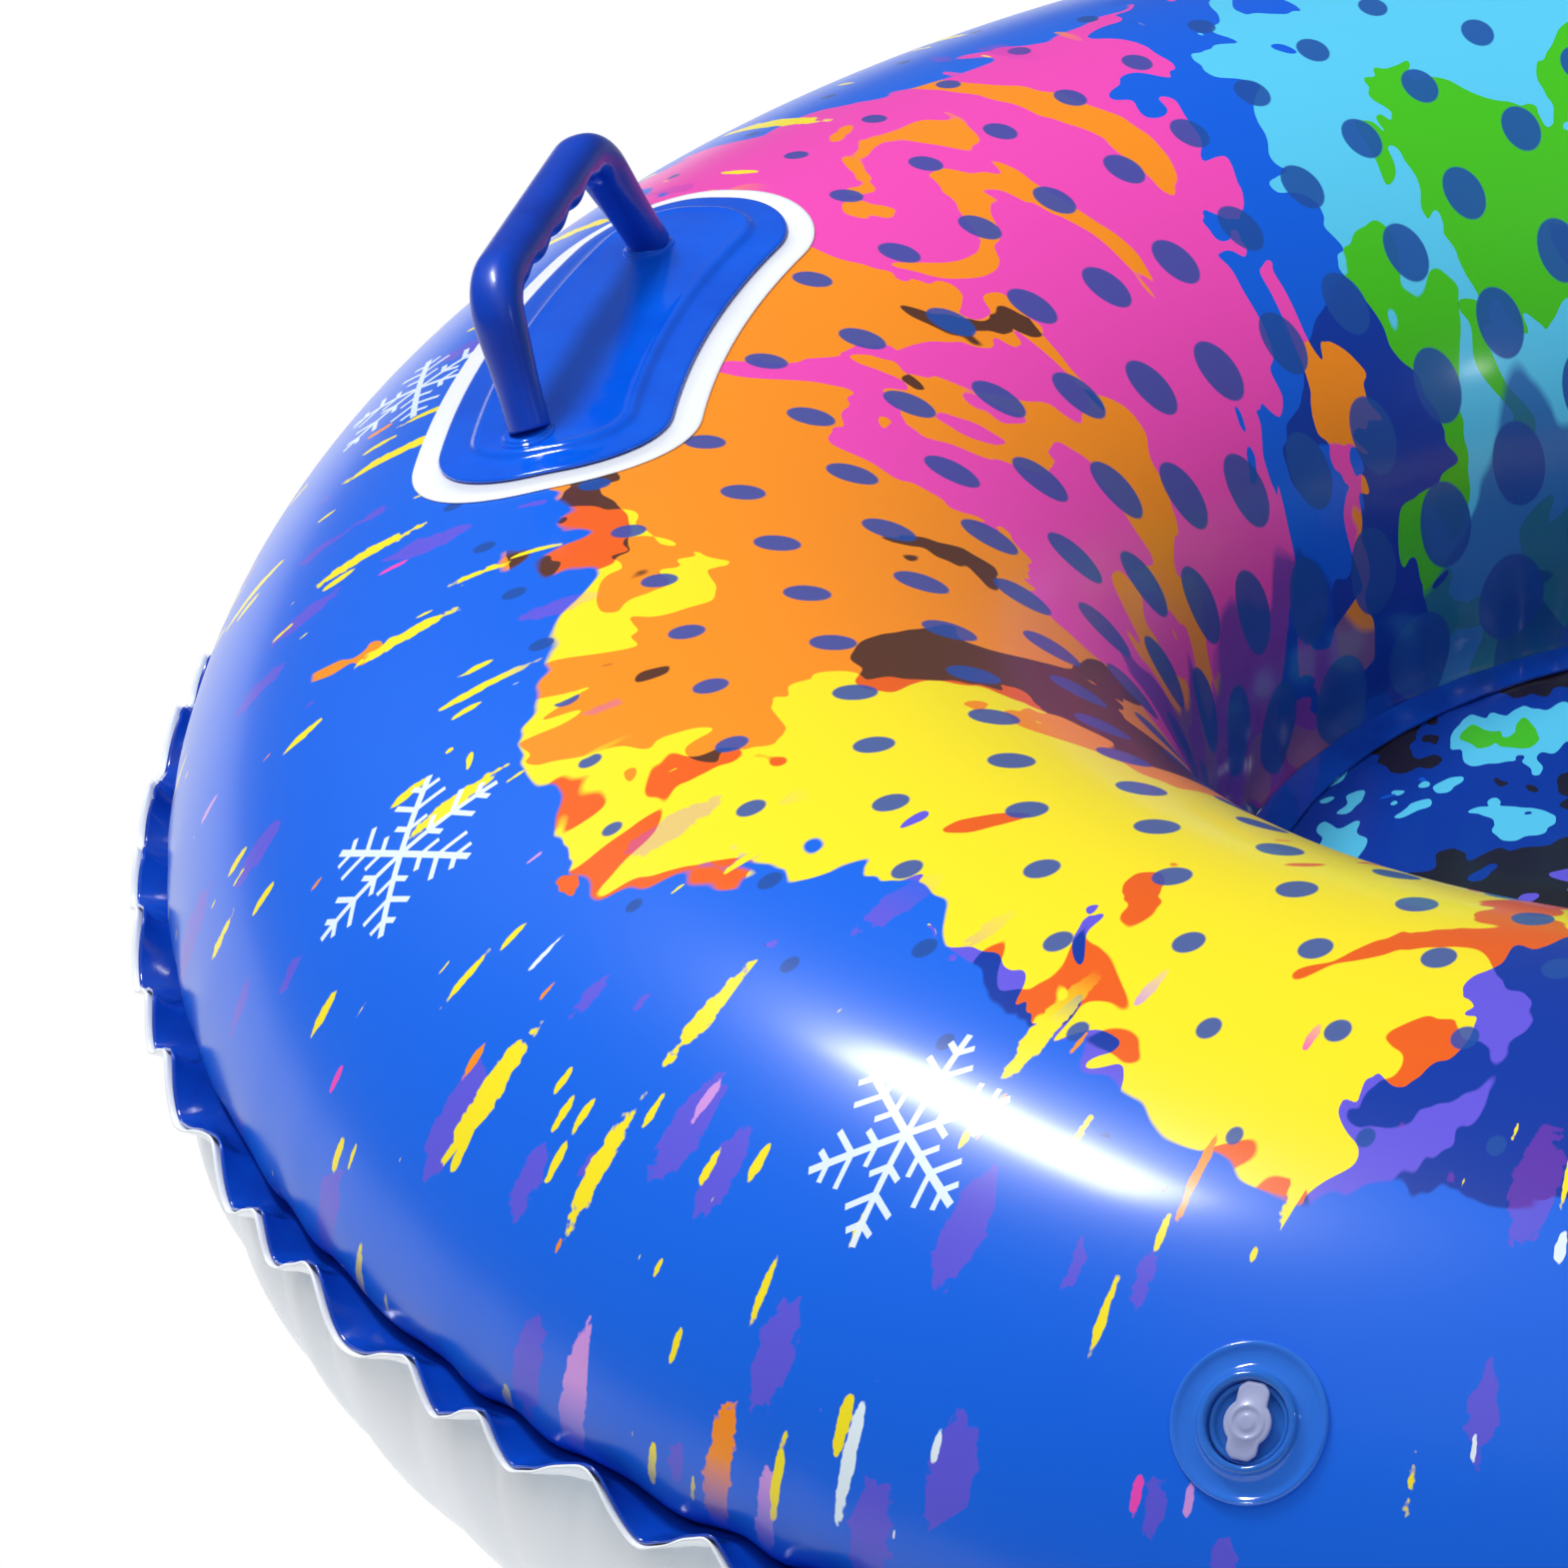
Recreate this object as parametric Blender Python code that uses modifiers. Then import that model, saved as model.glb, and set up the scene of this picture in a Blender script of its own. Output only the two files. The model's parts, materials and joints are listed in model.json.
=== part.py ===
"""Inflatable snow tube for sledding: a welded ring with a seat floor, two moulded handles and a push-in valve.

Metres, +Z up. The origin is on the ground under the middle of the ring. The handles stand on +X and -X, and the
valve faces -Y. The ring is shown blown up, with its belly pressed flat where it stands.
"""

import math

import bmesh
import bpy
from mathutils import Matrix, Vector

MM = 0.001

# Gaps and overruns shared by all pieces
CLEARANCE = 0.3 * MM
CUT_OVERRUN = 5 * MM

# The blown-up ring, measured on its outer surface
RING_HOLE_RADIUS = 184 * MM
TUBE_WIDTH = 316 * MM
TUBE_HEIGHT = 266 * MM
CONTACT_FLAT_WIDTH = 50 * MM
UPPER_WALL = 0.8 * MM
LOWER_WALL = 1.0 * MM
RING_FACETS = 60
UPPER_ARC_FACETS = 15
LOWER_ARC_FACETS = 6
END_CROWDING_SHARE = 0.4

# The outer weld, where both sheets are drawn in and their margins ruffle, one lying on the other
SEAM_RISE = 5 * MM
OUTER_PINCH = 10 * MM
SEAM_WIDTH = 19 * MM
WELD_WIDTH = 6 * MM
PLY_WALL = 0.8 * MM
RUFFLE_COUNT = 76
POINTS_PER_RUFFLE = 4
RUFFLE_LIFT = math.radians(17)
RUFFLE_SWING = math.radians(22)
RUFFLE_SKEW_SHARE = 0.3

# The inner weld and the seat floor stretched across the hole
FLOOR_DROP = 35 * MM
FLOOR_WALL = 1.0 * MM
INNER_PINCH = 7 * MM
INNER_SEAM_WIDTH = 13 * MM

# The handle base, a moulded plate with a raised panel, on a white reinforcing patch
HANDLE_OUTSET = 34.5 * MM
BASE_LENGTH = 190 * MM
BASE_WIDTH = 71 * MM
BASE_CORNER_RADIUS = 31 * MM
BASE_WALL = 1.0 * MM
PANEL_INSET = 8 * MM
PANEL_RISE = 1.5 * MM
PATCH_BORDER = 8.5 * MM
PATCH_WALL = 0.6 * MM
FOOT_PAD_RADIUS = 10 * MM
FOOT_PAD_RISE = 0.6 * MM
CORNER_STEPS = 5

# The grip loop, which leans outwards, stands nearer one end of its base and folds over on its two feet
GRIP_SHIFT = 10 * MM
GRIP_LEAN = math.radians(9)
FOOT_SPACING = 122 * MM
FOOT_RADIUS = 6.5 * MM
FOOT_LENGTH = 14 * MM
GRIP_RISE = 33 * MM
GRIP_LENGTH = 99 * MM
GRIP_WIDTH = 16 * MM
GRIP_THICKNESS = 15 * MM
GRIP_BEND_RADIUS = 14 * MM
GRIP_BEND_STEPS = 4
GRIP_SIDES = 12
LEG_SHARE = 0.8
GROOVE_COUNT = 4
GROOVE_PITCH = 18.5 * MM
GROOVE_RADIUS = 14 * MM
GROOVE_DEPTH = 1.6 * MM

# The valve: a clear flange and collar, a stem that pushes in, a plug on a strap and a check flap
VALVE_ANGLE = math.radians(261.8)
VALVE_RISE_ANGLE = math.radians(36)
VALVE_FLANGE_RADIUS = 21 * MM
VALVE_FLANGE_WALL = 1.2 * MM
COLLAR_WALL = 2.2 * MM
COLLAR_RISE = 3.4 * MM
COLLAR_DEPTH = 4 * MM
STEM_RADIUS = 10.7 * MM
STEM_LENGTH = 18 * MM
STEM_WALL = 1.3 * MM
STEM_RECESS = 2.4 * MM
STOP_WIDTH = 1.8 * MM
STOP_HEIGHT = 1.4 * MM
NOZZLE_BORE_RADIUS = 4.2 * MM
NOZZLE_WALL = 1.4 * MM
NOZZLE_LENGTH = 9 * MM
PLUG_CAP_RADIUS = 5.5 * MM
PLUG_CAP_HEIGHT = 1.6 * MM
PLUG_TAB_WIDTH = 7 * MM
PLUG_TAB_REACH = 9.8 * MM
PLUG_STRAP_REACH = 9.2 * MM
PLUG_PIN_RADIUS = 3.6 * MM
PLUG_PIN_TIP_RADIUS = 2.3 * MM
PLUG_PIN_LENGTH = 5 * MM
FLAP_WALL = 0.6 * MM
VALVE_SIDES = 24

COLLECTION_NAME = "inflatable_snow_tube"
CUTTER_COLLECTION_NAME = "cutters"

# Places worked out from the sizes above
HALF_WIDTH = TUBE_WIDTH / 2
HALF_HEIGHT = TUBE_HEIGHT / 2
CROWN_RADIUS = RING_HOLE_RADIUS + HALF_WIDTH
BELLY_ANGLE = math.acos(CONTACT_FLAT_WIDTH / TUBE_WIDTH)
MID_HEIGHT = HALF_HEIGHT * math.sin(BELLY_ANGLE)
OUTER_SEAM_ANGLE = math.asin(SEAM_RISE / HALF_HEIGHT)
INNER_SEAM_ANGLE = math.pi + math.asin(FLOOR_DROP / HALF_HEIGHT)
SEAM_HEIGHT = MID_HEIGHT + SEAM_RISE
OUTER_SEAM_RADIUS = CROWN_RADIUS + HALF_WIDTH * math.cos(OUTER_SEAM_ANGLE) - OUTER_PINCH
INNER_SEAM_RADIUS = CROWN_RADIUS + HALF_WIDTH * math.cos(INNER_SEAM_ANGLE) - INNER_PINCH
FLOOR_HEIGHT = MID_HEIGHT - FLOOR_DROP
HANDLE_RADIUS = CROWN_RADIUS + HANDLE_OUTSET
HANDLE_RISE_ANGLE = math.acos(HANDLE_OUTSET / HALF_WIDTH)
PATCH_TOP = CLEARANCE + PATCH_WALL
BASE_BOTTOM = PATCH_TOP + CLEARANCE
BASE_TOP = BASE_BOTTOM + BASE_WALL
PANEL_TOP = BASE_TOP + PANEL_RISE
FOOT_PAD_TOP = PANEL_TOP + FOOT_PAD_RISE
HINGE_HEIGHT = FOOT_PAD_TOP + CLEARANCE + FOOT_RADIUS
COLLAR_BORE_RADIUS = STEM_RADIUS + CLEARANCE
COLLAR_RADIUS = COLLAR_BORE_RADIUS + COLLAR_WALL
STEM_TOP = COLLAR_RISE - STEM_RECESS
STEM_BOTTOM = STEM_TOP - STEM_LENGTH
NOZZLE_RADIUS = NOZZLE_BORE_RADIUS + NOZZLE_WALL
NOZZLE_BOTTOM = STEM_TOP - NOZZLE_LENGTH
PLUG_HINGE_HEIGHT = STEM_TOP + CLEARANCE + PLUG_CAP_HEIGHT / 2


def clear_scene():
    for obj in list(bpy.data.objects):
        bpy.data.objects.remove(obj)


def new_collection(name):
    collection = bpy.data.collections.new(name)
    bpy.context.scene.collection.children.link(collection)
    return collection


def material(name, colour, roughness, alpha=1.0):
    made = bpy.data.materials.new(name)
    made.use_nodes = True
    shader = made.node_tree.nodes["Principled BSDF"]
    shader.inputs["Base Color"].default_value = (*colour, 1.0)
    shader.inputs["Roughness"].default_value = roughness
    shader.inputs["Metallic"].default_value = 0.0
    shader.inputs["Alpha"].default_value = alpha
    made.diffuse_color = (*colour, alpha)
    return made


def put(obj, collection, finish=None):
    """Moves an object to a collection. A cutter has no finish and is kept out of the render."""
    for owner in list(obj.users_collection):
        owner.objects.unlink(obj)
    collection.objects.link(obj)
    if finish is None:
        obj.hide_render = True
        obj.display_type = "WIRE"
    else:
        obj.data.materials.clear()
        obj.data.materials.append(finish)
    return obj


def object_of(name, bm, collection, finish=None):
    mesh = bpy.data.meshes.new(name)
    bm.to_mesh(mesh)
    bm.free()
    return put(bpy.data.objects.new(name, mesh), collection, finish)


def boolean(obj, other, operation):
    modifier = obj.modifiers.new(operation.lower(), "BOOLEAN")
    modifier.operation = operation
    modifier.object = other
    modifier.solver = "EXACT"
    return obj


def crowded(start, end, steps):
    """Angles from start to end that lie closer together near both ends, where a weld draws the sheet in."""
    angles = []
    for step in range(steps + 1):
        turn = step / steps
        shift = END_CROWDING_SHARE * math.sin(2 * math.pi * turn) / (2 * math.pi)
        angles.append(start + (end - start) * (turn - shift))
    return angles


def ring_point(angle, offset=0.0):
    """Radius and height of the tube's outline at an angle from its outer side, moved out by offset."""
    out = Vector((math.cos(angle) / HALF_WIDTH, math.sin(angle) / HALF_HEIGHT)).normalized()
    radius = CROWN_RADIUS + HALF_WIDTH * math.cos(angle) + out.x * offset
    height = MID_HEIGHT + HALF_HEIGHT * math.sin(angle) + out.y * offset
    return radius, height


def ring_frame(turn, angle):
    """A frame on the tube's surface: Z out of the surface, Y along the ring and X down the slope."""
    radius, height = ring_point(angle)
    above = ring_point(angle, MM)
    out = Vector(((above[0] - radius) / MM, 0, (above[1] - height) / MM)).normalized()
    along = Vector((0, 1, 0))
    columns = Matrix((along.cross(out), along, out)).transposed().to_4x4()
    return Matrix.Rotation(turn, 4, "Z") @ Matrix.Translation((radius, 0, height)) @ columns


def profile_object(name, points, closed, collection, finish=None, steps=RING_FACETS):
    """A profile of (radius, height) points turned once round Z by a Screw modifier."""
    bm = bmesh.new()
    verts = [bm.verts.new((radius, 0, height)) for radius, height in points]
    for first, second in zip(verts, verts[1:]):
        bm.edges.new((first, second))
    if closed:
        bm.edges.new((verts[-1], verts[0]))
    obj = object_of(name, bm, collection, finish)
    screw = obj.modifiers.new("turn", "SCREW")
    screw.steps = steps
    screw.render_steps = steps
    screw.use_merge_vertices = True
    screw.merge_threshold = CLEARANCE / 10
    return obj


def solidify(obj, wall, offset):
    shell = obj.modifiers.new("wall", "SOLIDIFY")
    shell.thickness = wall
    shell.offset = offset
    shell.use_even_offset = True
    return obj


def cylinder(name, radius, low, high, frame, collection, finish=None, sides=VALVE_SIDES, tip_radius=None):
    """A round bar along the frame's Z from low to high, or a cone where tip_radius is the radius at low."""
    bm = bmesh.new()
    bmesh.ops.create_cone(
        bm,
        cap_ends=True,
        segments=sides,
        radius1=radius if tip_radius is None else tip_radius,
        radius2=radius,
        depth=high - low,
    )
    bmesh.ops.translate(bm, vec=(0, 0, (high + low) / 2), verts=bm.verts)
    obj = object_of(name, bm, collection, finish)
    obj.matrix_world = frame
    return obj


def rounded_corners(corners, radius, steps, closed):
    """Points along straight runs between corners, with each corner rounded by an arc of the radius."""
    count = len(corners)
    points = []
    for index, corner in enumerate(corners):
        if not closed and index in (0, count - 1):
            points.append(Vector(corner))
            continue
        here = Vector(corner)
        back = (Vector(corners[index - 1]) - here).normalized()
        ahead = (Vector(corners[(index + 1) % count]) - here).normalized()
        half = back.angle(ahead) / 2
        centre = here + (back + ahead).normalized() * radius / math.sin(half)
        start = here + back * radius / math.tan(half) - centre
        end = here + ahead * radius / math.tan(half) - centre
        for step in range(steps + 1):
            share = step / steps
            spoke = start.slerp(end, share).normalized() * start.length
            points.append(centre + spoke)
    return points


def plan_prism(name, length, width, corner_radius, turn, collection, finish=None):
    """A rounded plate outline bent round the ring in plan, extruded far past the tube's upper surface."""
    half_length, half_width = length / 2, width / 2
    corners = [
        (half_length, half_width),
        (-half_length, half_width),
        (-half_length, -half_width),
        (half_length, -half_width),
    ]
    outline = rounded_corners(corners, corner_radius, CORNER_STEPS, True)
    straight_steps = round(length / (HANDLE_RADIUS * 2 * math.pi / RING_FACETS))
    points = []
    for first, second in zip(outline, outline[1:] + outline[:1]):
        runs = straight_steps if (second - first).length > length / straight_steps else 1
        points += [first.lerp(second, run / runs) for run in range(runs)]
    curve = bpy.data.curves.new(name + "_outline", "CURVE")
    curve.dimensions = "2D"
    curve.fill_mode = "BOTH"
    curve.extrude = TUBE_HEIGHT / 4
    spline = curve.splines.new("POLY")
    spline.points.add(len(points) - 1)
    for spot, point in zip(spline.points, points):
        bearing = turn + point.x / HANDLE_RADIUS
        reach = HANDLE_RADIUS + point.y
        spot.co = (reach * math.cos(bearing), reach * math.sin(bearing), 0, 1)
    spline.use_cyclic_u = True
    flat = bpy.data.objects.new(name + "_outline", curve)
    bpy.context.scene.collection.objects.link(flat)
    flat.location.z = MID_HEIGHT + HALF_HEIGHT
    return mesh_from(flat, name, collection, finish)


def mesh_from(flat, name, collection, finish):
    """Turns a curve object into a closed mesh object and removes the curve."""
    bpy.context.view_layer.update()
    graph = bpy.context.evaluated_depsgraph_get()
    mesh = bpy.data.meshes.new_from_object(flat.evaluated_get(graph))
    bm = bmesh.new()
    bm.from_mesh(mesh)
    bmesh.ops.remove_doubles(bm, verts=bm.verts, dist=CLEARANCE / 10)
    bmesh.ops.recalc_face_normals(bm, faces=bm.faces)
    bm.to_mesh(mesh)
    bm.free()
    obj = put(bpy.data.objects.new(name, mesh), collection, finish)
    obj.matrix_world = flat.matrix_world.copy()
    bpy.data.objects.remove(flat)
    return obj


def ring_layer(name, low, high, cutters):
    """A closed layer over the upper skin, between two heights above it, that pieces on the skin are cut from."""
    angles = crowded(OUTER_SEAM_ANGLE, INNER_SEAM_ANGLE, UPPER_ARC_FACETS)[1:-1]
    above = [ring_point(angle, high) for angle in reversed(angles)]
    below = [ring_point(angle, low) for angle in angles]
    return profile_object(name, above + below, True, cutters)


def make_skins(parts, cutters, finishes):
    """The two sheets of the ring, each an open turned surface with a wall, ending at the outer and inner weld."""
    parting = 2 * CLEARANCE
    upper_angles = crowded(OUTER_SEAM_ANGLE, INNER_SEAM_ANGLE, UPPER_ARC_FACETS)
    upper = [ring_point(angle) for angle in upper_angles[1:-1]]
    upper.insert(0, (OUTER_SEAM_RADIUS, SEAM_HEIGHT + parting))
    upper.append((INNER_SEAM_RADIUS, FLOOR_HEIGHT + FLOOR_WALL + 2 * CLEARANCE + PLY_WALL))
    upper_skin = profile_object("upper_skin", upper[::-1], False, parts, finishes["printed vinyl"])
    solidify(upper_skin, UPPER_WALL, -1)
    valve_hole = cylinder(
        "valve_hole",
        COLLAR_RADIUS + CLEARANCE,
        -STEM_LENGTH,
        STEM_LENGTH,
        ring_frame(VALVE_ANGLE, VALVE_RISE_ANGLE),
        cutters,
    )
    boolean(upper_skin, valve_hole, "DIFFERENCE")

    belly_inner = math.pi + BELLY_ANGLE
    belly_outer = 2 * math.pi - BELLY_ANGLE
    inner_arc = crowded(INNER_SEAM_ANGLE, belly_inner, LOWER_ARC_FACETS)[1:]
    outer_arc = crowded(belly_outer, 2 * math.pi + OUTER_SEAM_ANGLE, LOWER_ARC_FACETS)[:-1]
    lower = [ring_point(angle) for angle in inner_arc + outer_arc]
    lower.insert(0, (INNER_SEAM_RADIUS, FLOOR_HEIGHT - 2 * CLEARANCE - PLY_WALL))
    lower.append((OUTER_SEAM_RADIUS, SEAM_HEIGHT - parting))
    lower_skin = profile_object("lower_skin", lower[::-1], False, parts, finishes["clear vinyl"])
    solidify(lower_skin, LOWER_WALL, -1)


def ruffle_tilt(bearing):
    """How far the margin's rim turns up at a bearing. Round the ring it rises slowly and drops quickly."""
    phase = RUFFLE_COUNT * bearing + math.pi / POINTS_PER_RUFFLE
    wave = math.sin(phase) - RUFFLE_SKEW_SHARE * math.sin(2 * phase)
    return RUFFLE_LIFT + RUFFLE_SWING * wave


def make_outer_ply(name, side, parts, finish):
    """One sheet's margin outside the outer weld: flat over the weld, then turned up in uneven ruffles."""
    count = RUFFLE_COUNT * POINTS_PER_RUFFLE
    inner_radius = OUTER_SEAM_RADIUS + 2 * CLEARANCE
    bm = bmesh.new()
    bmesh.ops.create_circle(bm, segments=count, radius=inner_radius)
    weld = bmesh.ops.extrude_edge_only(bm, edges=list(bm.edges))
    weld_edges = [item for item in weld["geom"] if isinstance(item, bmesh.types.BMEdge)]
    weld_edges = [edge for edge in weld_edges if len(edge.link_faces) == 1]
    weld_verts = {vert for edge in weld_edges for vert in edge.verts}
    for vert in weld_verts:
        vert.co *= (inner_radius + WELD_WIDTH) / inner_radius
    rim = bmesh.ops.extrude_edge_only(bm, edges=weld_edges)
    for vert in [item for item in rim["geom"] if isinstance(item, bmesh.types.BMVert)]:
        bearing = math.atan2(vert.co.y, vert.co.x)
        tilt = ruffle_tilt(bearing)
        margin = SEAM_WIDTH - WELD_WIDTH
        reach = inner_radius + WELD_WIDTH + margin * math.cos(tilt)
        vert.co = (reach * math.cos(bearing), reach * math.sin(bearing), margin * math.sin(tilt))
    bmesh.ops.recalc_face_normals(bm, faces=bm.faces)
    bm.faces.ensure_lookup_table()
    if bm.faces[0].normal.z < 0:
        bmesh.ops.reverse_faces(bm, faces=bm.faces)
    bm.normal_update()
    parting = [vert.normal * side * CLEARANCE / 2 for vert in bm.verts]
    for vert, step in zip(bm.verts, parting):
        vert.co += step
    ply = object_of(name, bm, parts, finish)
    ply.location.z = SEAM_HEIGHT
    solidify(ply, PLY_WALL, side)


def make_inner_ply(name, low, parts, finish):
    """One sheet's margin inside the inner weld, a flat ring lying on or under the rim of the seat floor."""
    outer = INNER_SEAM_RADIUS - CLEARANCE
    inner = outer - INNER_SEAM_WIDTH
    high = low + PLY_WALL
    profile_object(name, [(outer, high), (outer, low), (inner, low), (inner, high)], True, parts, finish)


def make_floor(parts, finishes):
    """The seat floor, welded all round between the inner margins of the two sheets."""
    radius = INNER_SEAM_RADIUS - CLEARANCE
    top = FLOOR_HEIGHT + FLOOR_WALL
    rim = [(0, top), (radius, top), (radius, FLOOR_HEIGHT), (0, FLOOR_HEIGHT)]
    profile_object("seat_floor", rim, False, parts, finishes["printed vinyl"])
    make_inner_ply("inner_seam_upper_ply", top + CLEARANCE, parts, finishes["blue vinyl"])
    make_inner_ply("inner_seam_lower_ply", FLOOR_HEIGHT - CLEARANCE - PLY_WALL, parts, finishes["clear vinyl"])


def make_handle_plates(side, turn, parts, cutters, layers, finishes):
    """The white patch and the blue base plate of one handle, both cut from layers that follow the skin."""
    patch = plan_prism(
        side + "_handle_patch",
        BASE_LENGTH + 2 * PATCH_BORDER,
        BASE_WIDTH + 2 * PATCH_BORDER,
        BASE_CORNER_RADIUS + PATCH_BORDER,
        turn,
        parts,
        finishes["white vinyl"],
    )
    boolean(patch, layers["patch"], "INTERSECT")
    base = plan_prism(
        side + "_handle_base",
        BASE_LENGTH,
        BASE_WIDTH,
        BASE_CORNER_RADIUS,
        turn,
        parts,
        finishes["base vinyl"],
    )
    boolean(base, layers["base"], "INTERSECT")
    panel = plan_prism(
        side + "_handle_panel",
        BASE_LENGTH - 2 * PANEL_INSET,
        BASE_WIDTH - 2 * PANEL_INSET,
        BASE_CORNER_RADIUS - PANEL_INSET,
        turn,
        cutters,
    )
    boolean(panel, layers["panel"], "INTERSECT")
    boolean(base, panel, "UNION")
    frame = ring_frame(turn, HANDLE_RISE_ANGLE)
    for end in (-1, 1):
        spot = frame @ Matrix.Translation((0, GRIP_SHIFT + end * FOOT_SPACING / 2, 0))
        pad = cylinder(f"{side}_foot_pad_{end}", FOOT_PAD_RADIUS, -CUT_OVERRUN, FOOT_PAD_TOP, spot, cutters)
        boolean(pad, layers["foot pad"], "INTERSECT")
        boolean(base, pad, "UNION")


def grip_section(cutters):
    """The oval outline that the grip loop is swept with."""
    curve = bpy.data.curves.new("grip_section", "CURVE")
    curve.dimensions = "2D"
    spline = curve.splines.new("POLY")
    spline.points.add(GRIP_SIDES - 1)
    for index, spot in enumerate(spline.points):
        angle = 2 * math.pi * index / GRIP_SIDES
        spot.co = (GRIP_THICKNESS / 2 * math.cos(angle), GRIP_WIDTH / 2 * math.sin(angle), 0, 1)
    spline.use_cyclic_u = True
    return put(bpy.data.objects.new("grip_section", curve), cutters)


def make_grip(side, turn, section, parts, cutters, finishes):
    """One grip loop with round feet and finger grooves. Its origin is on the line that it folds about."""
    foot, bend = FOOT_SPACING / 2, GRIP_LENGTH / 2
    corners = [(0, -foot, 0), (0, -bend, GRIP_RISE), (0, bend, GRIP_RISE), (0, foot, 0)]
    route = rounded_corners(corners, GRIP_BEND_RADIUS, GRIP_BEND_STEPS, False)
    curve = bpy.data.curves.new("grip_route", "CURVE")
    curve.dimensions = "3D"
    curve.bevel_mode = "OBJECT"
    curve.bevel_object = section
    curve.use_fill_caps = True
    spline = curve.splines.new("POLY")
    spline.points.add(len(route) - 1)
    for spot, point in zip(spline.points, route):
        spot.co = (*point, 1)
        spot.radius = LEG_SHARE + (1 - LEG_SHARE) * min(1, point.z / (GRIP_RISE - GRIP_THICKNESS / 4))
    loop = bpy.data.objects.new("grip_route", curve)
    bpy.context.scene.collection.objects.link(loop)
    grip = mesh_from(loop, side + "_handle_grip", parts, finishes["dark vinyl"])
    hinge = ring_frame(turn, HANDLE_RISE_ANGLE) @ Matrix.Translation((0, GRIP_SHIFT, HINGE_HEIGHT))
    hinge = hinge @ Matrix.Rotation(GRIP_LEAN, 4, "Y")
    grip.matrix_world = hinge
    lying = Matrix.Rotation(math.pi / 2, 4, "X")
    for end in (-1, 1):
        foot_frame = hinge @ Matrix.Translation((0, end * foot, 0)) @ lying
        name = f"{side}_foot_{end}"
        barrel = cylinder(name, FOOT_RADIUS, -FOOT_LENGTH / 2, FOOT_LENGTH / 2, foot_frame, cutters)
        boolean(grip, barrel, "UNION")
    across = Matrix.Rotation(math.pi / 2, 4, "Y")
    groove_height = GRIP_RISE - GRIP_THICKNESS / 2 + GROOVE_DEPTH - GROOVE_RADIUS
    for index in range(GROOVE_COUNT):
        place = (index - (GROOVE_COUNT - 1) / 2) * GROOVE_PITCH
        groove_frame = hinge @ Matrix.Translation((0, place, groove_height)) @ across
        name = f"{side}_groove_{index}"
        groove = cylinder(name, GROOVE_RADIUS, -GRIP_WIDTH, GRIP_WIDTH, groove_frame, cutters)
        boolean(grip, groove, "DIFFERENCE")
    grip.data.shade_smooth()
    return grip


def make_valve_flange(parts, cutters, layers, finishes):
    """The clear flange welded on the skin, with the collar that the stem slides in."""
    frame = ring_frame(VALVE_ANGLE, VALVE_RISE_ANGLE)
    flange = cylinder(
        "valve_flange",
        VALVE_FLANGE_RADIUS,
        -CUT_OVERRUN,
        CUT_OVERRUN,
        frame,
        parts,
        finishes["valve vinyl"],
        sides=2 * VALVE_SIDES,
    )
    boolean(flange, layers["valve"], "INTERSECT")
    collar_middle = (COLLAR_BORE_RADIUS + COLLAR_RADIUS) / 2
    bore = cylinder("flange_bore", collar_middle, -STEM_LENGTH, STEM_LENGTH, frame, cutters)
    boolean(flange, bore, "DIFFERENCE")
    rim = [
        (COLLAR_RADIUS, -COLLAR_DEPTH),
        (COLLAR_BORE_RADIUS, -COLLAR_DEPTH),
        (COLLAR_BORE_RADIUS, COLLAR_RISE - COLLAR_WALL / 4),
        (COLLAR_BORE_RADIUS + COLLAR_WALL / 4, COLLAR_RISE),
        (COLLAR_RADIUS - COLLAR_WALL / 3, COLLAR_RISE),
        (COLLAR_RADIUS, COLLAR_RISE - COLLAR_WALL / 3),
    ]
    collar = profile_object("valve_collar", rim, True, cutters, steps=VALVE_SIDES)
    collar.matrix_world = frame
    boolean(flange, collar, "UNION")


def make_valve_stem(parts, finishes):
    """The stem: a cup with a nozzle down its middle and a stop ring at its inner end."""
    outline = [
        (NOZZLE_BORE_RADIUS, STEM_TOP),
        (STEM_RADIUS, STEM_TOP),
        (STEM_RADIUS, STEM_BOTTOM + STOP_HEIGHT),
        (STEM_RADIUS + STOP_WIDTH, STEM_BOTTOM + STOP_HEIGHT),
        (STEM_RADIUS + STOP_WIDTH, STEM_BOTTOM),
        (STEM_RADIUS - STEM_WALL, STEM_BOTTOM),
        (STEM_RADIUS - STEM_WALL, STEM_TOP - STEM_WALL),
        (NOZZLE_RADIUS, STEM_TOP - STEM_WALL),
        (NOZZLE_RADIUS, NOZZLE_BOTTOM),
        (NOZZLE_BORE_RADIUS, NOZZLE_BOTTOM),
    ]
    stem = profile_object("valve_stem", outline, True, parts, finishes["valve vinyl"], steps=VALVE_SIDES)
    stem.matrix_world = ring_frame(VALVE_ANGLE, VALVE_RISE_ANGLE)


def make_check_flap(parts, finishes):
    """The thin flap that closes the inner end of the nozzle. Its origin is on its hinge line."""
    flap_radius = NOZZLE_RADIUS - CLEARANCE
    hinge = ring_frame(VALVE_ANGLE, VALVE_RISE_ANGLE) @ Matrix.Translation(
        (flap_radius, 0, NOZZLE_BOTTOM - CLEARANCE - FLAP_WALL / 2)
    )
    flap = cylinder(
        "valve_check_flap",
        flap_radius,
        -FLAP_WALL / 2,
        FLAP_WALL / 2,
        hinge,
        parts,
        finishes["valve vinyl"],
    )
    flap.data.transform(Matrix.Translation((-flap_radius, 0, 0)))


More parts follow.
